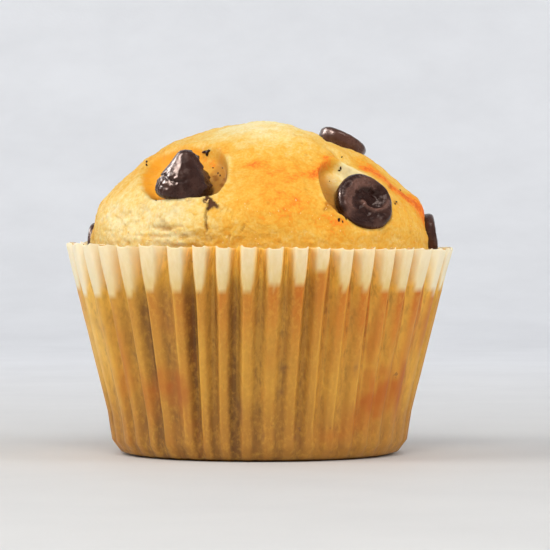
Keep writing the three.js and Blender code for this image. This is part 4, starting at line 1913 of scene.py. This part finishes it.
    def _looks(self) -> dict[str, Array]:
        """The marks of every pleat: those in front are given, and the others vary by a seeded draw.

        Returns:
            For each of a look's fields, one number for each pleat.
        """
        draw = np.random.default_rng(self.looks_seed)
        others = self.pleats.count - len(self.front_looks)
        spread = {"foot": 0.35, "low": 0.08, "high": 0.1, "orange": 0.3, "shade": 0.25, "sunny": 0.25}
        plain = PleatLook()
        looks = {}
        for name, most in spread.items():
            drawn = getattr(plain, name) + most * draw.uniform(-1.0, 1.0, others)
            looks[name] = np.append([getattr(look, name) for look in self.front_looks], drawn)
        return looks

    def _dryness(
        self, place: Array, inward: Array, number: Array, looks: dict[str, Array]
    ) -> tuple[Array, Array]:
        """How dry the paper stayed above the cake.

        Args:
            place: The paper's points.
            inward: How far each lies from its crest, in pleat widths, positive towards the front.
            number: Its crest's number.
            looks: The marks of every pleat.

        Returns:
            A share for each point, and how far up its tongue it is.
        """
        noise = self.cake.turbulence
        waver = 1.0 + 0.12 * noise.fractal(place, (2.4, 2.4, 6.0))
        ragged = 0.3 * noise.fractal(place, 1.3)
        outer = inward < 0.0

        def tongue(pleat: Array, away: Array, reach: tuple[Array, Array]) -> tuple[Array, Array]:
            """One pleat's dry tongue.

            Args:
                pleat: The pleat's number.
                away: How far each point lies from its crest.
                reach: How far the tongue reaches, at its foot and at the edge.

            Returns:
                The tongue's share, and how far up it each point is.
            """
            foot = looks["foot"][pleat]
            up = np.clip((place[:, 2] - foot) / (self.wall.rim_height - foot), 0.0, 1.0)
            low, high = reach
            wide = (low + (high - low) * up**0.9) * waver
            edge = foot + 0.8 * np.clip(away / low, 0.0, 1.2) ** 2 + ragged
            beside = 1.0 - ease(away / wide, np.where(outer, 0.82, 0.5), 1.2)
            return beside * ease(place[:, 2], edge - 0.15, edge + 0.45), up

        own = tuple(
            np.where(outer, far, looks[name][number]) for far, name in zip(self.outer_reach, ("low", "high"))
        )
        dry, up = tongue(number, np.abs(inward), own)
        side = np.where(self._is_left(place), 1, -1)
        beyond = (number - side) % self.pleats.count
        next_dry, _ = tongue(beyond, 1.0 - np.abs(inward), (looks["low"][beyond], looks["high"][beyond]))
        return np.maximum(dry, np.where(outer, next_dry, 0.0)), up**0.8

    def _is_left(self, place: Array) -> Array:
        """Which points lie left of the pleat that faces the front."""
        return np.degrees(np.arctan2(place[:, 0], -place[:, 1])) < self.middle_bearing

    def _paint(self, piece: Thing) -> None:
        """Stores where the paper is dry, soaked, stained and blotched, and where light and shade are painted.

        Args:
            piece: The cup.
        """
        place = points_of(piece.data)
        height = place[:, 2]
        radius = np.hypot(place[:, 0], place[:, 1])
        bearing = np.degrees(np.arctan2(place[:, 0], -place[:, 1]))
        noise = self.cake.turbulence
        looks = self._looks()
        phase = self._stored(piece.data, "fold")
        number = np.rint(self._stored(piece.data, "number")).astype(int)
        fold = np.abs(phase)
        inward = phase * np.where(self._is_left(place), 1.0, -1.0)
        marks = {}
        marks["dry"], marks["rise"] = self._dryness(place, inward, number, looks)
        foot = looks["foot"][number]
        valley = (number - (phase < 0.0)) % self.pleats.count
        light = np.maximum(ease(bearing, *self.lit_right), ease(-bearing, *self.lit_left))
        above = ease(height, foot - 2.5 - 2.0 * light, self.wall.rim_height - 1.0 - 3.0 * light)
        marks["low"] = 1.0 - ease(height, *self.low_band)
        # Painted shade: a side pleat darkens from its bright outer crest towards the next crest, as light
        # falls from the side, and a front valley darkens in its middle; the look's shade share adds butter to
        # it.
        beyond_crest = np.where(inward > 0.0, ease(inward, 0.0, 0.44), ease(-inward, 0.12, 0.26))
        turned = beyond_crest * light + ease(fold, 0.13, 0.36) * (1.0 - light)
        marks["shade"] = looks["shade"][valley] * turned
        patchy = 0.75 + 0.6 * noise.fractal(place + 40.0, (2.6, 2.6, 7.0))
        marks["sunny"] = looks["sunny"][number] * patchy * ease(height, *self.sunny_band)
        # Golden in the valleys near the edge: cake colour through the paper, and painted light shining
        # through.
        marks["upper"] = above * ease(fold, 0.1, 0.25)
        fade = 7.0 + 4.0 * ease(bearing, 5.0, 20.0)
        band = bell(np.minimum(height - foot, 0.0), 0.0, fade)
        band *= 1.0 - 0.75 * ease(height, foot, foot + 3.0)
        outward = np.where(light > 0.3, inward, fold)
        marks["orange"] = looks["orange"][number] * band * (1.0 - 0.85 * ease(outward, 0.08, 0.34))
        marks["stain"] = 0.25 * ease(noise.fractal(place, (5.0, 5.0, 9.0)), 0.05, 0.7)
        marks["blotch"] = np.zeros(len(place))
        # Painted light at the far sides and along the left edge, where light shines through the paper.
        marks["pale"] = self.pale_most * ease(np.abs(bearing), *self.pale_turn)
        through = ease(-bearing, *self.through_turn) * ease(height, *self.through_band)
        marks["dry"] = np.maximum(marks["dry"], self.through_dry * through)
        marks["upper"] = np.maximum(marks["upper"], self.through_upper * through)
        wobble = 0.5 * noise.fractal(place, 2.4)
        for name, patches in (("stain", self.stains), ("blotch", self.blotches), ("shade", self.darks)):
            for patch in patches:
                across = turn_between(bearing, patch.bearing) * np.pi / 180.0 * radius / patch.half_width
                up = (height - patch.height) / patch.half_height
                marks[name] += patch.amount * (1.0 - ease(np.hypot(across, up) + wobble, 0.1, 1.3))
        marks["stain"] *= 1.0 - 0.3 * ease(fold, 0.32, 0.48)
        # Painted highlight along each crest's outer crease.
        aside = ease(np.abs(bearing - self.middle_bearing), *self.crease_turn)
        edge = bell(inward, -0.17, 0.025) * aside
        marks["crease"] = self.crease_most * edge * ease(height, *self.crease_band)
        set_attributes(piece.data, {name: np.clip(values, 0.0, 1.0) for name, values in marks.items()})


# --- Chocolate chips ---


class ChipMark(enum.Enum):
    """What a chip's surface shows."""

    BLISTERED = "rough and blistered on one side, as it stands tip up"
    SWIRLED = "a dished and swirled base that faces out"
    BLOOMED = "a plain base, dulled by bloom"


@dataclass
class Chip:
    """One chocolate chip: where its base's middle is, which way its tip points, and its size.

    The outline is radius and height for a chip of the standard radius. A hole is its place on the base,
    in radii.
    """

    node: str
    base: Triple
    tip: Triple
    radius: float
    mark: ChipMark
    seed: int
    # Base share of bloom; the sculpt adds painted highlight and painted shade to it.
    bloom: float = 0.4
    around: int = 116
    rows_under: int = 26
    rows_side: int = 44
    outline: tuple[Pair, ...] = (
        (4.1, 0), (4.75, 0.12), (5.2, 0.6), (5.3, 1.2), (5.1, 2.4),
        (4.05, 4.7), (2.45, 7.4), (1.4, 8.6), (0, 9),
    )
    standard_radius: float = 5.3
    ragged: float = 0.22
    ragged_swirled: float = 0.36
    rib: float = -1.9
    holes: tuple[Pair, ...] = ((0.06, 0.62), (-0.23, 0.40), (0.25, 0.42), (-0.05, 0.16))

    def bed(self) -> Bed:
        """Where the chip's base shows through the crust."""
        return Bed(self.base, tuple(-part for part in self.tip), self.radius)

    def _frame(self) -> tuple[Array, Array, Array]:
        """The chip's own directions.

        Returns:
            Its sideways, forward and tip directions.
        """
        axis = Vector(self.tip).normalized()
        turn = Vector((0.0, 0.0, 1.0)).rotation_difference(axis).to_matrix()
        return tuple(np.array(turn.col[n]) for n in range(3))

    def _profile(self) -> tuple[Array, Array]:
        """Radius and height along the chip's side, from the base's edge to the tip.

        Returns:
            Both, at each row of the side.
        """
        curve = smooth_path(np.array(self.outline, float) * self.radius / self.standard_radius)
        along = lengths_along(curve)
        at = np.linspace(0.0, along[-1], self.rows_side)
        radius, height = (np.interp(at, along, curve[:, axis]) for axis in (0, 1))
        return np.maximum(radius, 0.0), height

    def build(self) -> Thing:
        """Makes the chip's mesh.

        Returns:
            The object, with its finish attributes.
        """
        side_radius, side_height = self._profile()
        under = np.linspace(0.0, side_radius[0], self.rows_under + 1)[1:-1]
        radii = np.concatenate([[0.0], under, side_radius])
        heights = np.concatenate([np.zeros(self.rows_under), side_height])
        angle = np.arange(self.around) / self.around * 2.0 * np.pi
        turns = np.stack([np.cos(angle), np.sin(angle), np.zeros(self.around)], axis=1)
        up = np.array([0.0, 0.0, 1.0])
        rows = [radius * turns + height * up for radius, height in zip(radii[1:-1], heights[1:-1])]
        local = np.vstack([heights[0] * up, *rows, heights[-1] * up])
        local, marks = self._sculpt(local)
        sideways, forward, axis = self._frame()
        place = local[:, :1] * sideways + local[:, 1:2] * forward + local[:, 2:] * axis + np.array(self.base)
        mesh = RingMesh()
        first = mesh.ring(place[:1])
        rings = [mesh.ring(place[1 + n * self.around : 1 + (n + 1) * self.around]) for n in range(len(rows))]
        last = mesh.ring(place[-1:])
        mesh.fan(int(first[0]), rings[0], False)
        for lower, upper in zip(rings, rings[1:]):
            mesh.join(upper, lower)
        mesh.fan(int(last[0]), rings[-1], True)
        piece = mesh.build(f"chocolate_{self.node}")
        set_attributes(piece.data, marks)
        return piece

    def _sculpt(self, local: Array) -> tuple[Array, dict[str, Array]]:
        """Makes the plain chip uneven.

        Args:
            local: Its points, with the base at height 0 and the tip up.

        Returns:
            The moved points and the finish attributes.
        """
        noise = Turbulence(self.seed)
        scale = self.radius / self.standard_radius
        flat = np.hypot(local[:, 0], local[:, 1])
        angle = np.arctan2(local[:, 1], local[:, 0])
        outward = np.stack([np.cos(angle), np.sin(angle), np.zeros(len(local))], axis=1)
        outward[flat < 1e-6] = 0.0
        low = 1.0 - ease(local[:, 2], 0.5 * scale, 2.0 * scale)
        ragged = self.ragged_swirled if self.mark is ChipMark.SWIRLED else self.ragged
        wide = ragged * noise.fractal(local, 4.5 * scale, 2) + 0.07 * noise.fractal(local, 1.3 * scale, 3)
        moved = local + outward * (wide * np.minimum(flat / scale, 1.0))[:, None]
        on_base = 1.0 - ease(local[:, 2], 0.02, 0.35 * scale)
        share = flat / (self.radius * 0.92)
        down = np.zeros(len(local))
        worn = np.zeros(len(local))
        if self.mark is ChipMark.SWIRLED:
            down, worn = self._swirl(local, noise)
        elif self.mark is ChipMark.BLOOMED:
            down = -0.2 * (1.0 - ease(share, 0.2, 0.9)) + 0.14 * noise.fractal(local, 2.0 * scale, 3)
        moved[:, 2] -= down * on_base * scale
        if self.mark is ChipMark.BLISTERED:
            facing = outward @ unit(np.array([-0.85, -0.5, 0.0]))
            rough = ease(facing + 0.35 * noise.at(local, 2.5), 0.05, 0.6) * (1.0 - 0.5 * low)
            rough *= 1.0 - 0.9 * ease(local[:, 2], 3.6, 6.6)
            blisters = 0.30 * noise.ridged(local, 1.1, 2) ** 3 + 0.26 * noise.fractal(local, 0.62, 2) - 0.12
            crack = bell(local[:, 2] - 3.7 - 0.35 * np.sin(4.0 * angle), 0.0, 0.2)
            crack *= ease(facing, 0.2, 0.7)
            knobs = 0.55 * ease(noise.at(local + 4.0, 1.5), 0.15, 0.6)
            knobs *= ease(outward[:, 0], 0.4, 0.9)
            slim = 0.12 * flat * ease(local[:, 2], 4.0 * scale, 6.5 * scale)
            ribs = 0.05 * np.cos(3.0 * (angle - self.rib)) * ease(flat, 0.5, 3.0)
            ridges = 0.06 * noise.fractal(local, 2.0, 2) + ribs
            moved += outward * (rough * blisters - 0.4 * crack + knobs * (1.0 - low) - slim + ridges)[:, None]
            # Painted highlight on the blisters and ridges, and painted shade in the crack.
            worn = 0.6 * rough * ease(blisters, 0.1, 0.4) + 0.15 * ease(ridges, 0.0, 0.3)
            worn -= 0.6 * crack
        bloom = np.clip(self.bloom + worn + 0.4 * noise.fractal(local, 2.6, 3), 0.0, 1.0)
        return moved, {"bloom": bloom}

    def _swirl(self, local: Array, noise: Turbulence) -> tuple[Array, Array]:
        """The relief of a dished base: a hollow off its middle, a crest under that and a curl beside it.

        Args:
            local: The chip's points.
            noise: The chip's own noise.

        Returns:
            How far each point stands out of the base, and how much paler or darker it is painted: bloom,
            painted highlight on the crest and curl, and painted shade in the hollow, cleft and creases.
        """
        sideways, forward, _ = self._frame()
        flat = (local[:, :1] * sideways + local[:, 1:2] * forward) / self.radius
        x = flat[:, 0] + 0.14 * noise.fractal(local, 2.4, 2)
        z = flat[:, 2] + 0.14 * noise.fractal(local + 20.0, 2.4, 2)
        middle = np.hypot(x, z)
        hollow = np.hypot(x - 0.30, (z - 0.05) * 1.2)
        under = ease((0.12 - z) / np.maximum(hollow, 0.02), 0.0, 0.6)
        crest = under * bell(hollow, 0.40, 0.07)
        beside = ease((z - x) / np.maximum(middle, 0.02), -0.3, 0.7)
        curl = beside * ease(middle, 0.36, 0.48) * (1.0 - ease(middle, 0.72, 0.78))
        sunk = 1.0 - ease(hollow, 0.06, 0.40)
        cleft = bell(z - 0.30 + 0.5 * (x + 0.1) ** 2, 0.0, 0.06)
        cleft *= 1.0 - ease(np.abs(x), 0.3, 0.5)
        lift = 0.55 * crest + 0.4 * curl - 0.75 * sunk - 0.35 * (1.0 - ease(middle, 0.55, 0.8))
        lift -= 0.4 * cleft
        for hole_x, hole_z in self.holes:
            lift -= 0.55 * bell(np.hypot(x - hole_x, z - hole_z), 0.0, 0.07)
        lift += 0.30 * noise.fractal(local, 1.3, 3)
        creased = noise.ridged(local + 5.0, 2.0, 2) ** 6
        lift -= 0.25 * creased * (1.0 - ease(middle, 0.7, 0.85))
        # Painted highlight on the crest and curl, painted shade in the hollow, cleft and creases, and a paler
        # bloom band round the rim.
        worn = 1.6 * crest + 0.8 * curl - 0.5 * sunk - 0.3 * cleft - 0.25 * creased
        return lift, worn + 0.25 * ease(middle + 0.5 * x - 0.2 * z, 0.85, 1.2)


CHIPS = (
    Chip("chip_front_left", (-13.8, -23.1, 48.1), (0.05, -0.17, 1), 5.15, ChipMark.BLISTERED, 21, 0.09),
    Chip("chip_front_right", (19.5, -22.9, 47.6), (-0.42, 0.78, -0.42), 5.6, ChipMark.SWIRLED, 22, 0.06),
    Chip("chip_top_right", (16.3, 8.6, 59.5), (-0.45, -0.2, -0.87), 4.8, ChipMark.BLOOMED, 23, 0.4),
    Chip("chip_right_side", (33.2, 1, 40.7), (-1, 0, -0.13), 4.6, ChipMark.BLOOMED, 24, 0.32),
    Chip("chip_left_side", (-31.9, 6.2, 39.2), (1, -0.17, 0), 4.2, ChipMark.BLOOMED, 25, 0.32),
    Chip("chip_back_right", (12.6, 23.9, 49.6), (-0.1, -0.35, -0.9), 5.2, ChipMark.SWIRLED, 26, 0.18),
    Chip("chip_back_left", (-18.6, 14.2, 54.8), (0.5, -0.4, -0.72), 5.3, ChipMark.SWIRLED, 27, 0.18),
    Chip("chip_back_low", (-5.3, 32.2, 44.6), (0.16, -0.95, -0.25), 4.9, ChipMark.SWIRLED, 28, 0.18),
    Chip("chip_top_back", (1.5, 13.6, 60.9), (-0.05, -0.2, -0.95), 5, ChipMark.BLOOMED, 29, 0.32),
)


# --- Crumbs and specks ---


@dataclass
class Bits:
    """Small loose lumps of one kind, lying on the crust.

    Those in front are given as X, Z and size. The others are scattered between two heights, or near a
    bearing and height where there are any. Each drops onto the crust from outside.
    """

    name: str
    seed: int
    front: tuple[Triple, ...]
    scattered: int
    sizes: Pair
    heights: Pair
    near: tuple[Pair, ...] = ()
    spread: float = 6.0
    turn_per_mm: float = 2.4
    shape: Triple = (1.25, 0.8, 0.6)
    rough: float = 0.2
    stand_off: float = 0.08
    front_start: float = -50.0
    centre_height: float = 30.0
    drop_from: float = 8.0
    drop_reach: float = 60.0

    def _lump(self) -> Thing:
        """Makes one rough lump, a millimetre across.

        Returns:
            The lump.
        """
        work = bmesh.new()
        bmesh.ops.create_cube(work, size=1.0)
        bmesh.ops.subdivide_edges(work, edges=work.edges, cuts=1, use_grid_fill=True)
        noise = Turbulence(self.seed)
        corners = np.array([corner.co for corner in work.verts])
        moved = unit(corners) * (0.5 + self.rough * noise.at(corners * 3.0 + 7.0, 1.0))[:, None] * MM
        moved *= np.array(self.shape)
        for corner, place in zip(work.verts, moved):
            corner.co = place
        mesh = bpy.data.meshes.new(f"{self.name}_lump")
        work.to_mesh(mesh)
        work.free()
        return smooth_object(mesh.name, mesh)

    def _places(self, cake: Cake, crust: BVHTree) -> tuple[list[Vector], list[float]]:
        """Where the lumps lie and how wide they are.

        Args:
            cake: The cake, for places on the plain dome.
            crust: The finished crust.

        Returns:
            Places in metres and sizes in millimetres.
        """
        draw = np.random.default_rng(self.seed)
        places, sizes = [], []

        def lay(start: Vector, outward: Vector, size: float) -> None:
            """Lays one lump where a ray from outside meets the crust.

            Args:
                start: Where the ray starts, in millimetres.
                outward: The opposite of its direction.
                size: The lump's width.
            """
            found = crust.ray_cast(start * MM, -outward, self.drop_reach * MM)
            if found[0] is not None:
                places.append(found[0] + outward * self.stand_off * size * MM)
                sizes.append(size)

        for across, height, size in self.front:
            lay(Vector((across, self.front_start, height)), Vector((0.0, -1.0, 0.0)), size)
        for _ in range(self.scattered):
            bearing, height = draw.uniform(-180.0, 180.0), draw.uniform(*self.heights)
            if self.near:
                middle = self.near[draw.integers(len(self.near))]
                turn, climb = draw.normal(0.0, self.spread, 2)
                bearing = middle[0] + self.turn_per_mm * turn
                height = min(middle[1] + climb, cake.outline[0][1])
            start = cake.on_dome(bearing, height)
            outward = unit(start - np.array([0.0, 0.0, self.centre_height]))
            lay(Vector(start + self.drop_from * outward), Vector(outward), draw.uniform(*self.sizes))
        return places, sizes

    def _tree(self) -> Tree:
        """The scatter: a turned and sized lump at every place.

        Returns:
            The geometry node group.
        """
        sketch, given, out = new_group(
            "Scattered bits",
            "GeometryNodeTree",
            {
                "Places": ("Object", None),
                "Lump": ("Object", None),
                "Seed": ("Int", 0),
                "Material": ("Material", None),
            },
            {"Geometry": "Geometry"},
        )
        places, lump = (
            sketch.feed(sketch.add("GeometryNodeObjectInfo"), Object=given.outputs[name]).outputs["Geometry"]
            for name in ("Places", "Lump")
        )
        turn = sketch.add("FunctionNodeRandomValue", data_type="FLOAT_VECTOR")
        vectors = [socket for socket in turn.inputs if socket.type == "VECTOR"]
        for socket, value in zip(vectors, (0.0, math.tau)):
            socket.default_value = (value, value, value)
        sketch.feed(turn, Seed=given.outputs["Seed"])
        size = sketch.feed(sketch.add("GeometryNodeInputNamedAttribute", data_type="FLOAT"), Name="size")
        placed = sketch.feed(
            sketch.add("GeometryNodeInstanceOnPoints"),
            Points=places,
            Instance=lump,
            Rotation=next(socket for socket in turn.outputs if socket.type == "VECTOR"),
            Scale=size.outputs["Attribute"],
        )
        return sketch.close(out, placed.outputs[0], given.outputs["Material"])

    def build(self, cake: Cake, crust: BVHTree, material: Material) -> Thing:
        """Makes the lumps as one mesh.

        Args:
            cake: The cake.
            crust: Its finished crust.
            material: The lumps' finish.

        Returns:
            The object.
        """
        places, sizes = self._places(cake, crust)
        settings = {
            "Places": rail("places", places, {"size": sizes}),
            "Lump": self._lump(),
            "Seed": self.seed,
            "Material": material,
        }
        return grow_mesh(self.name, self._tree(), settings)


CHOCOLATE_BITS = Bits(
    "chocolate_specks", 41,
    (
        (-10, 56.4, 0.9), (-9.6, 56.2, 1), (-9.3, 56.6, 0.7), (-21, 54.7, 0.5), (-21, 54, 0.6),
        (-8.5, 53.4, 0.45), (-6.8, 53.4, 0.35), (-7.6, 52.4, 0.45), (-7.2, 52, 0.4),
        (-11.3, 55.6, 0.55), (-10.9, 49, 0.7), (-9.9, 48.4, 0.7),
        (15.2, 55.5, 0.5), (14.9, 53.4, 0.6), (14.6, 53, 0.4), (14.3, 43.9, 0.6), (15.6, 44.1, 0.6),
        (15, 43.6, 0.4), (25.1, 47.2, 0.6), (24.8, 46.8, 0.4), (12.8, 51, 0.3), (26.2, 49.4, 0.4),
        (17, 44.9, 0.7),
    ),
    26, (0.16, 0.34), (39.5, 56.0),
    ((-31, 50), (40, 48), (152, 50), (-128, 54), (-170, 45)), 2.2,
)
CAKE_CRUMBS = Bits(
    "loose_crumbs", 43,
    ((-13, 47.6, 0.5), (-9.4, 47.2, 0.5)),
    240, (0.14, 0.34), (39.6, 47.5),
)


# --- Light, table and camera ---


class LightUse(enum.Enum):
    """What a lamp is for."""

    SOFT = "lights the muffin and leaves no reflection of itself"
    GLINT = "shows only as a reflection"


@dataclass(frozen=True)
class Lamp:
    """A square light that faces the muffin: place and side in metres, power in watts."""

    name: str
    place: Triple
    side: float
    power: float
    colour: Colour
    use: LightUse

    def build(self, aim: Sequence[float]) -> None:
        """Adds the light.

        Args:
            aim: The place that it faces.
        """
        light = bpy.data.lights.new(self.name, "AREA")
        light.size = self.side
        light.energy = self.power
        light.color = self.colour
        lamp = add_object(self.name, light)
        lamp.visible_glossy = self.use is LightUse.GLINT
        lamp.visible_diffuse = self.use is LightUse.SOFT
        face(lamp, self.place, aim)


@dataclass
class Studio:
    """Plain pale table, soft light from both sides and the front, and the camera. In metres."""

    camera_place: Triple = (0.0, -0.700, 0.046)
    camera_aim: Triple = (0.0029, 0.0, 0.0335)
    lens: float = 243.8
    clip: Pair = (0.01, 20.0)
    floor_half: float = 1.6
    floor_back: float = 0.25
    bend_at: float = 0.55
    bend_radius: float = 0.5
    bend_steps: int = 24
    wall_height: float = 2.2
    sky: Colour = (0.80, 0.84, 0.92)
    sky_strength: float = 0.36
    lamp_aim: Triple = (0.0, 0.0, 0.035)
    lamps: tuple[Lamp, ...] = (
        Lamp("key_light", (-0.95, -0.33, 0.58), 0.7, 7.6, (1.0, 0.97, 0.92), LightUse.SOFT),
        Lamp("fill_light", (1.00, -0.28, 0.48), 0.7, 7.0, (1.0, 0.98, 0.96), LightUse.SOFT),
        Lamp("front_light", (0.0, -1.0, 0.75), 0.7, 9.0, (1.0, 0.98, 0.95), LightUse.SOFT),
        Lamp("window_glint", (-0.66, -0.26, 0.80), 0.22, 14.5, (1.0, 0.91, 0.87), LightUse.GLINT),
        Lamp("side_glint", (-0.76, 0.46, 0.56), 0.30, 9.0, (1.0, 0.93, 0.90), LightUse.GLINT),
        Lamp("ceiling_glint", (0.10, -0.42, 1.05), 0.22, 3.0, (1.0, 0.96, 0.94), LightUse.GLINT),
    )

    def build(self, patterns: SharedPatterns) -> None:
        """Makes the table, the light and the camera.

        Args:
            patterns: The shared node groups.
        """
        self._floor(TableFinish().material(patterns))
        for lamp in self.lamps:
            lamp.build(self.lamp_aim)
        self._sky()
        self._camera()

    def _floor(self, material: Material) -> None:
        """Makes the table and the wall behind as one smooth sweep.

        Args:
            material: The sweep's finish.
        """
        turns = np.linspace(0.0, np.pi / 2.0, self.bend_steps)
        radius = self.bend_radius
        bend = [(self.bend_at + radius * math.sin(t), radius * (1.0 - math.cos(t))) for t in turns]
        top = (self.bend_at + radius, self.wall_height)
        sweep = [(-self.floor_half, 0.0), (self.floor_back, 0.0), *bend, top]
        points = [(x, y, z) for y, z in sweep for x in (-self.floor_half, self.floor_half)]
        faces = [(2 * n, 2 * n + 1, 2 * n + 3, 2 * n + 2) for n in range(len(sweep) - 1)]
        table = mesh_object("table", points, faces)
        table.data.materials.append(material)

    def _sky(self) -> None:
        """Lights everything evenly from all round."""
        world = bpy.data.worlds.new("soft_room")
        bpy.context.scene.world = world
        world.use_nodes = True
        background = world.node_tree.nodes["Background"]
        background.inputs["Color"].default_value = (*self.sky, 1.0)
        background.inputs["Strength"].default_value = self.sky_strength

    def _camera(self) -> None:
        """Adds the camera."""
        data = bpy.data.cameras.new("camera")
        data.lens = self.lens
        data.clip_start, data.clip_end = self.clip
        camera = add_object("camera", data)
        face(camera, self.camera_place, self.camera_aim)
        bpy.context.scene.camera = camera
        bpy.context.scene.view_settings.view_transform = "Standard"


def face(thing: Thing, place: Sequence[float], aim: Sequence[float]) -> None:
    """Puts a lamp or a camera at a place, facing another."""
    thing.location = place
    thing.rotation_euler = (Vector(aim) - Vector(place)).to_track_quat("-Z", "Y").to_euler()


def surface_of(piece: Thing) -> BVHTree:
    """A piece's surface, for finding places on it.

    Args:
        piece: The piece.

    Returns:
        A search tree of its faces, in metres.
    """
    graph = bpy.context.evaluated_depsgraph_get()
    graph.update()
    return BVHTree.FromObject(piece, graph)


def main() -> None:
    """Builds the muffin's looks, piece by piece."""
    logging.basicConfig(level=logging.INFO, format="%(name)s: %(message)s")
    patterns = SharedPatterns()
    Studio().build(patterns)
    chocolate = ChocolateFinish().material(patterns)
    chips = [chip.build() for chip in CHIPS]
    beds = tuple(chip.bed() for chip in CHIPS if chip.mark is not ChipMark.BLISTERED)
    pleats, wall = Pleats(), Wall()
    cake = Cake(pleats, wall, beds=beds, chips=tuple(surface_of(chip) for chip in chips))
    crust = cake.build()
    surface = surface_of(crust)
    finish_piece(crust, CrustFinish().material(patterns), "cake", "cake")
    paper = PaperFinish().material(patterns)
    finish_piece(PaperCup(pleats, wall, cake).build(paper), paper, "paper", "paper_cup")
    for chip, piece in zip(CHIPS, chips):
        finish_piece(piece, chocolate, "chocolate", chip.node)
    finish_piece(CHOCOLATE_BITS.build(cake, surface, chocolate), chocolate, "chocolate")
    crumb = CrumbFinish().material(patterns)
    finish_piece(CAKE_CRUMBS.build(cake, surface, crumb), crumb, "cake")
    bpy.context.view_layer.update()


if __name__ == "__main__":
    main()
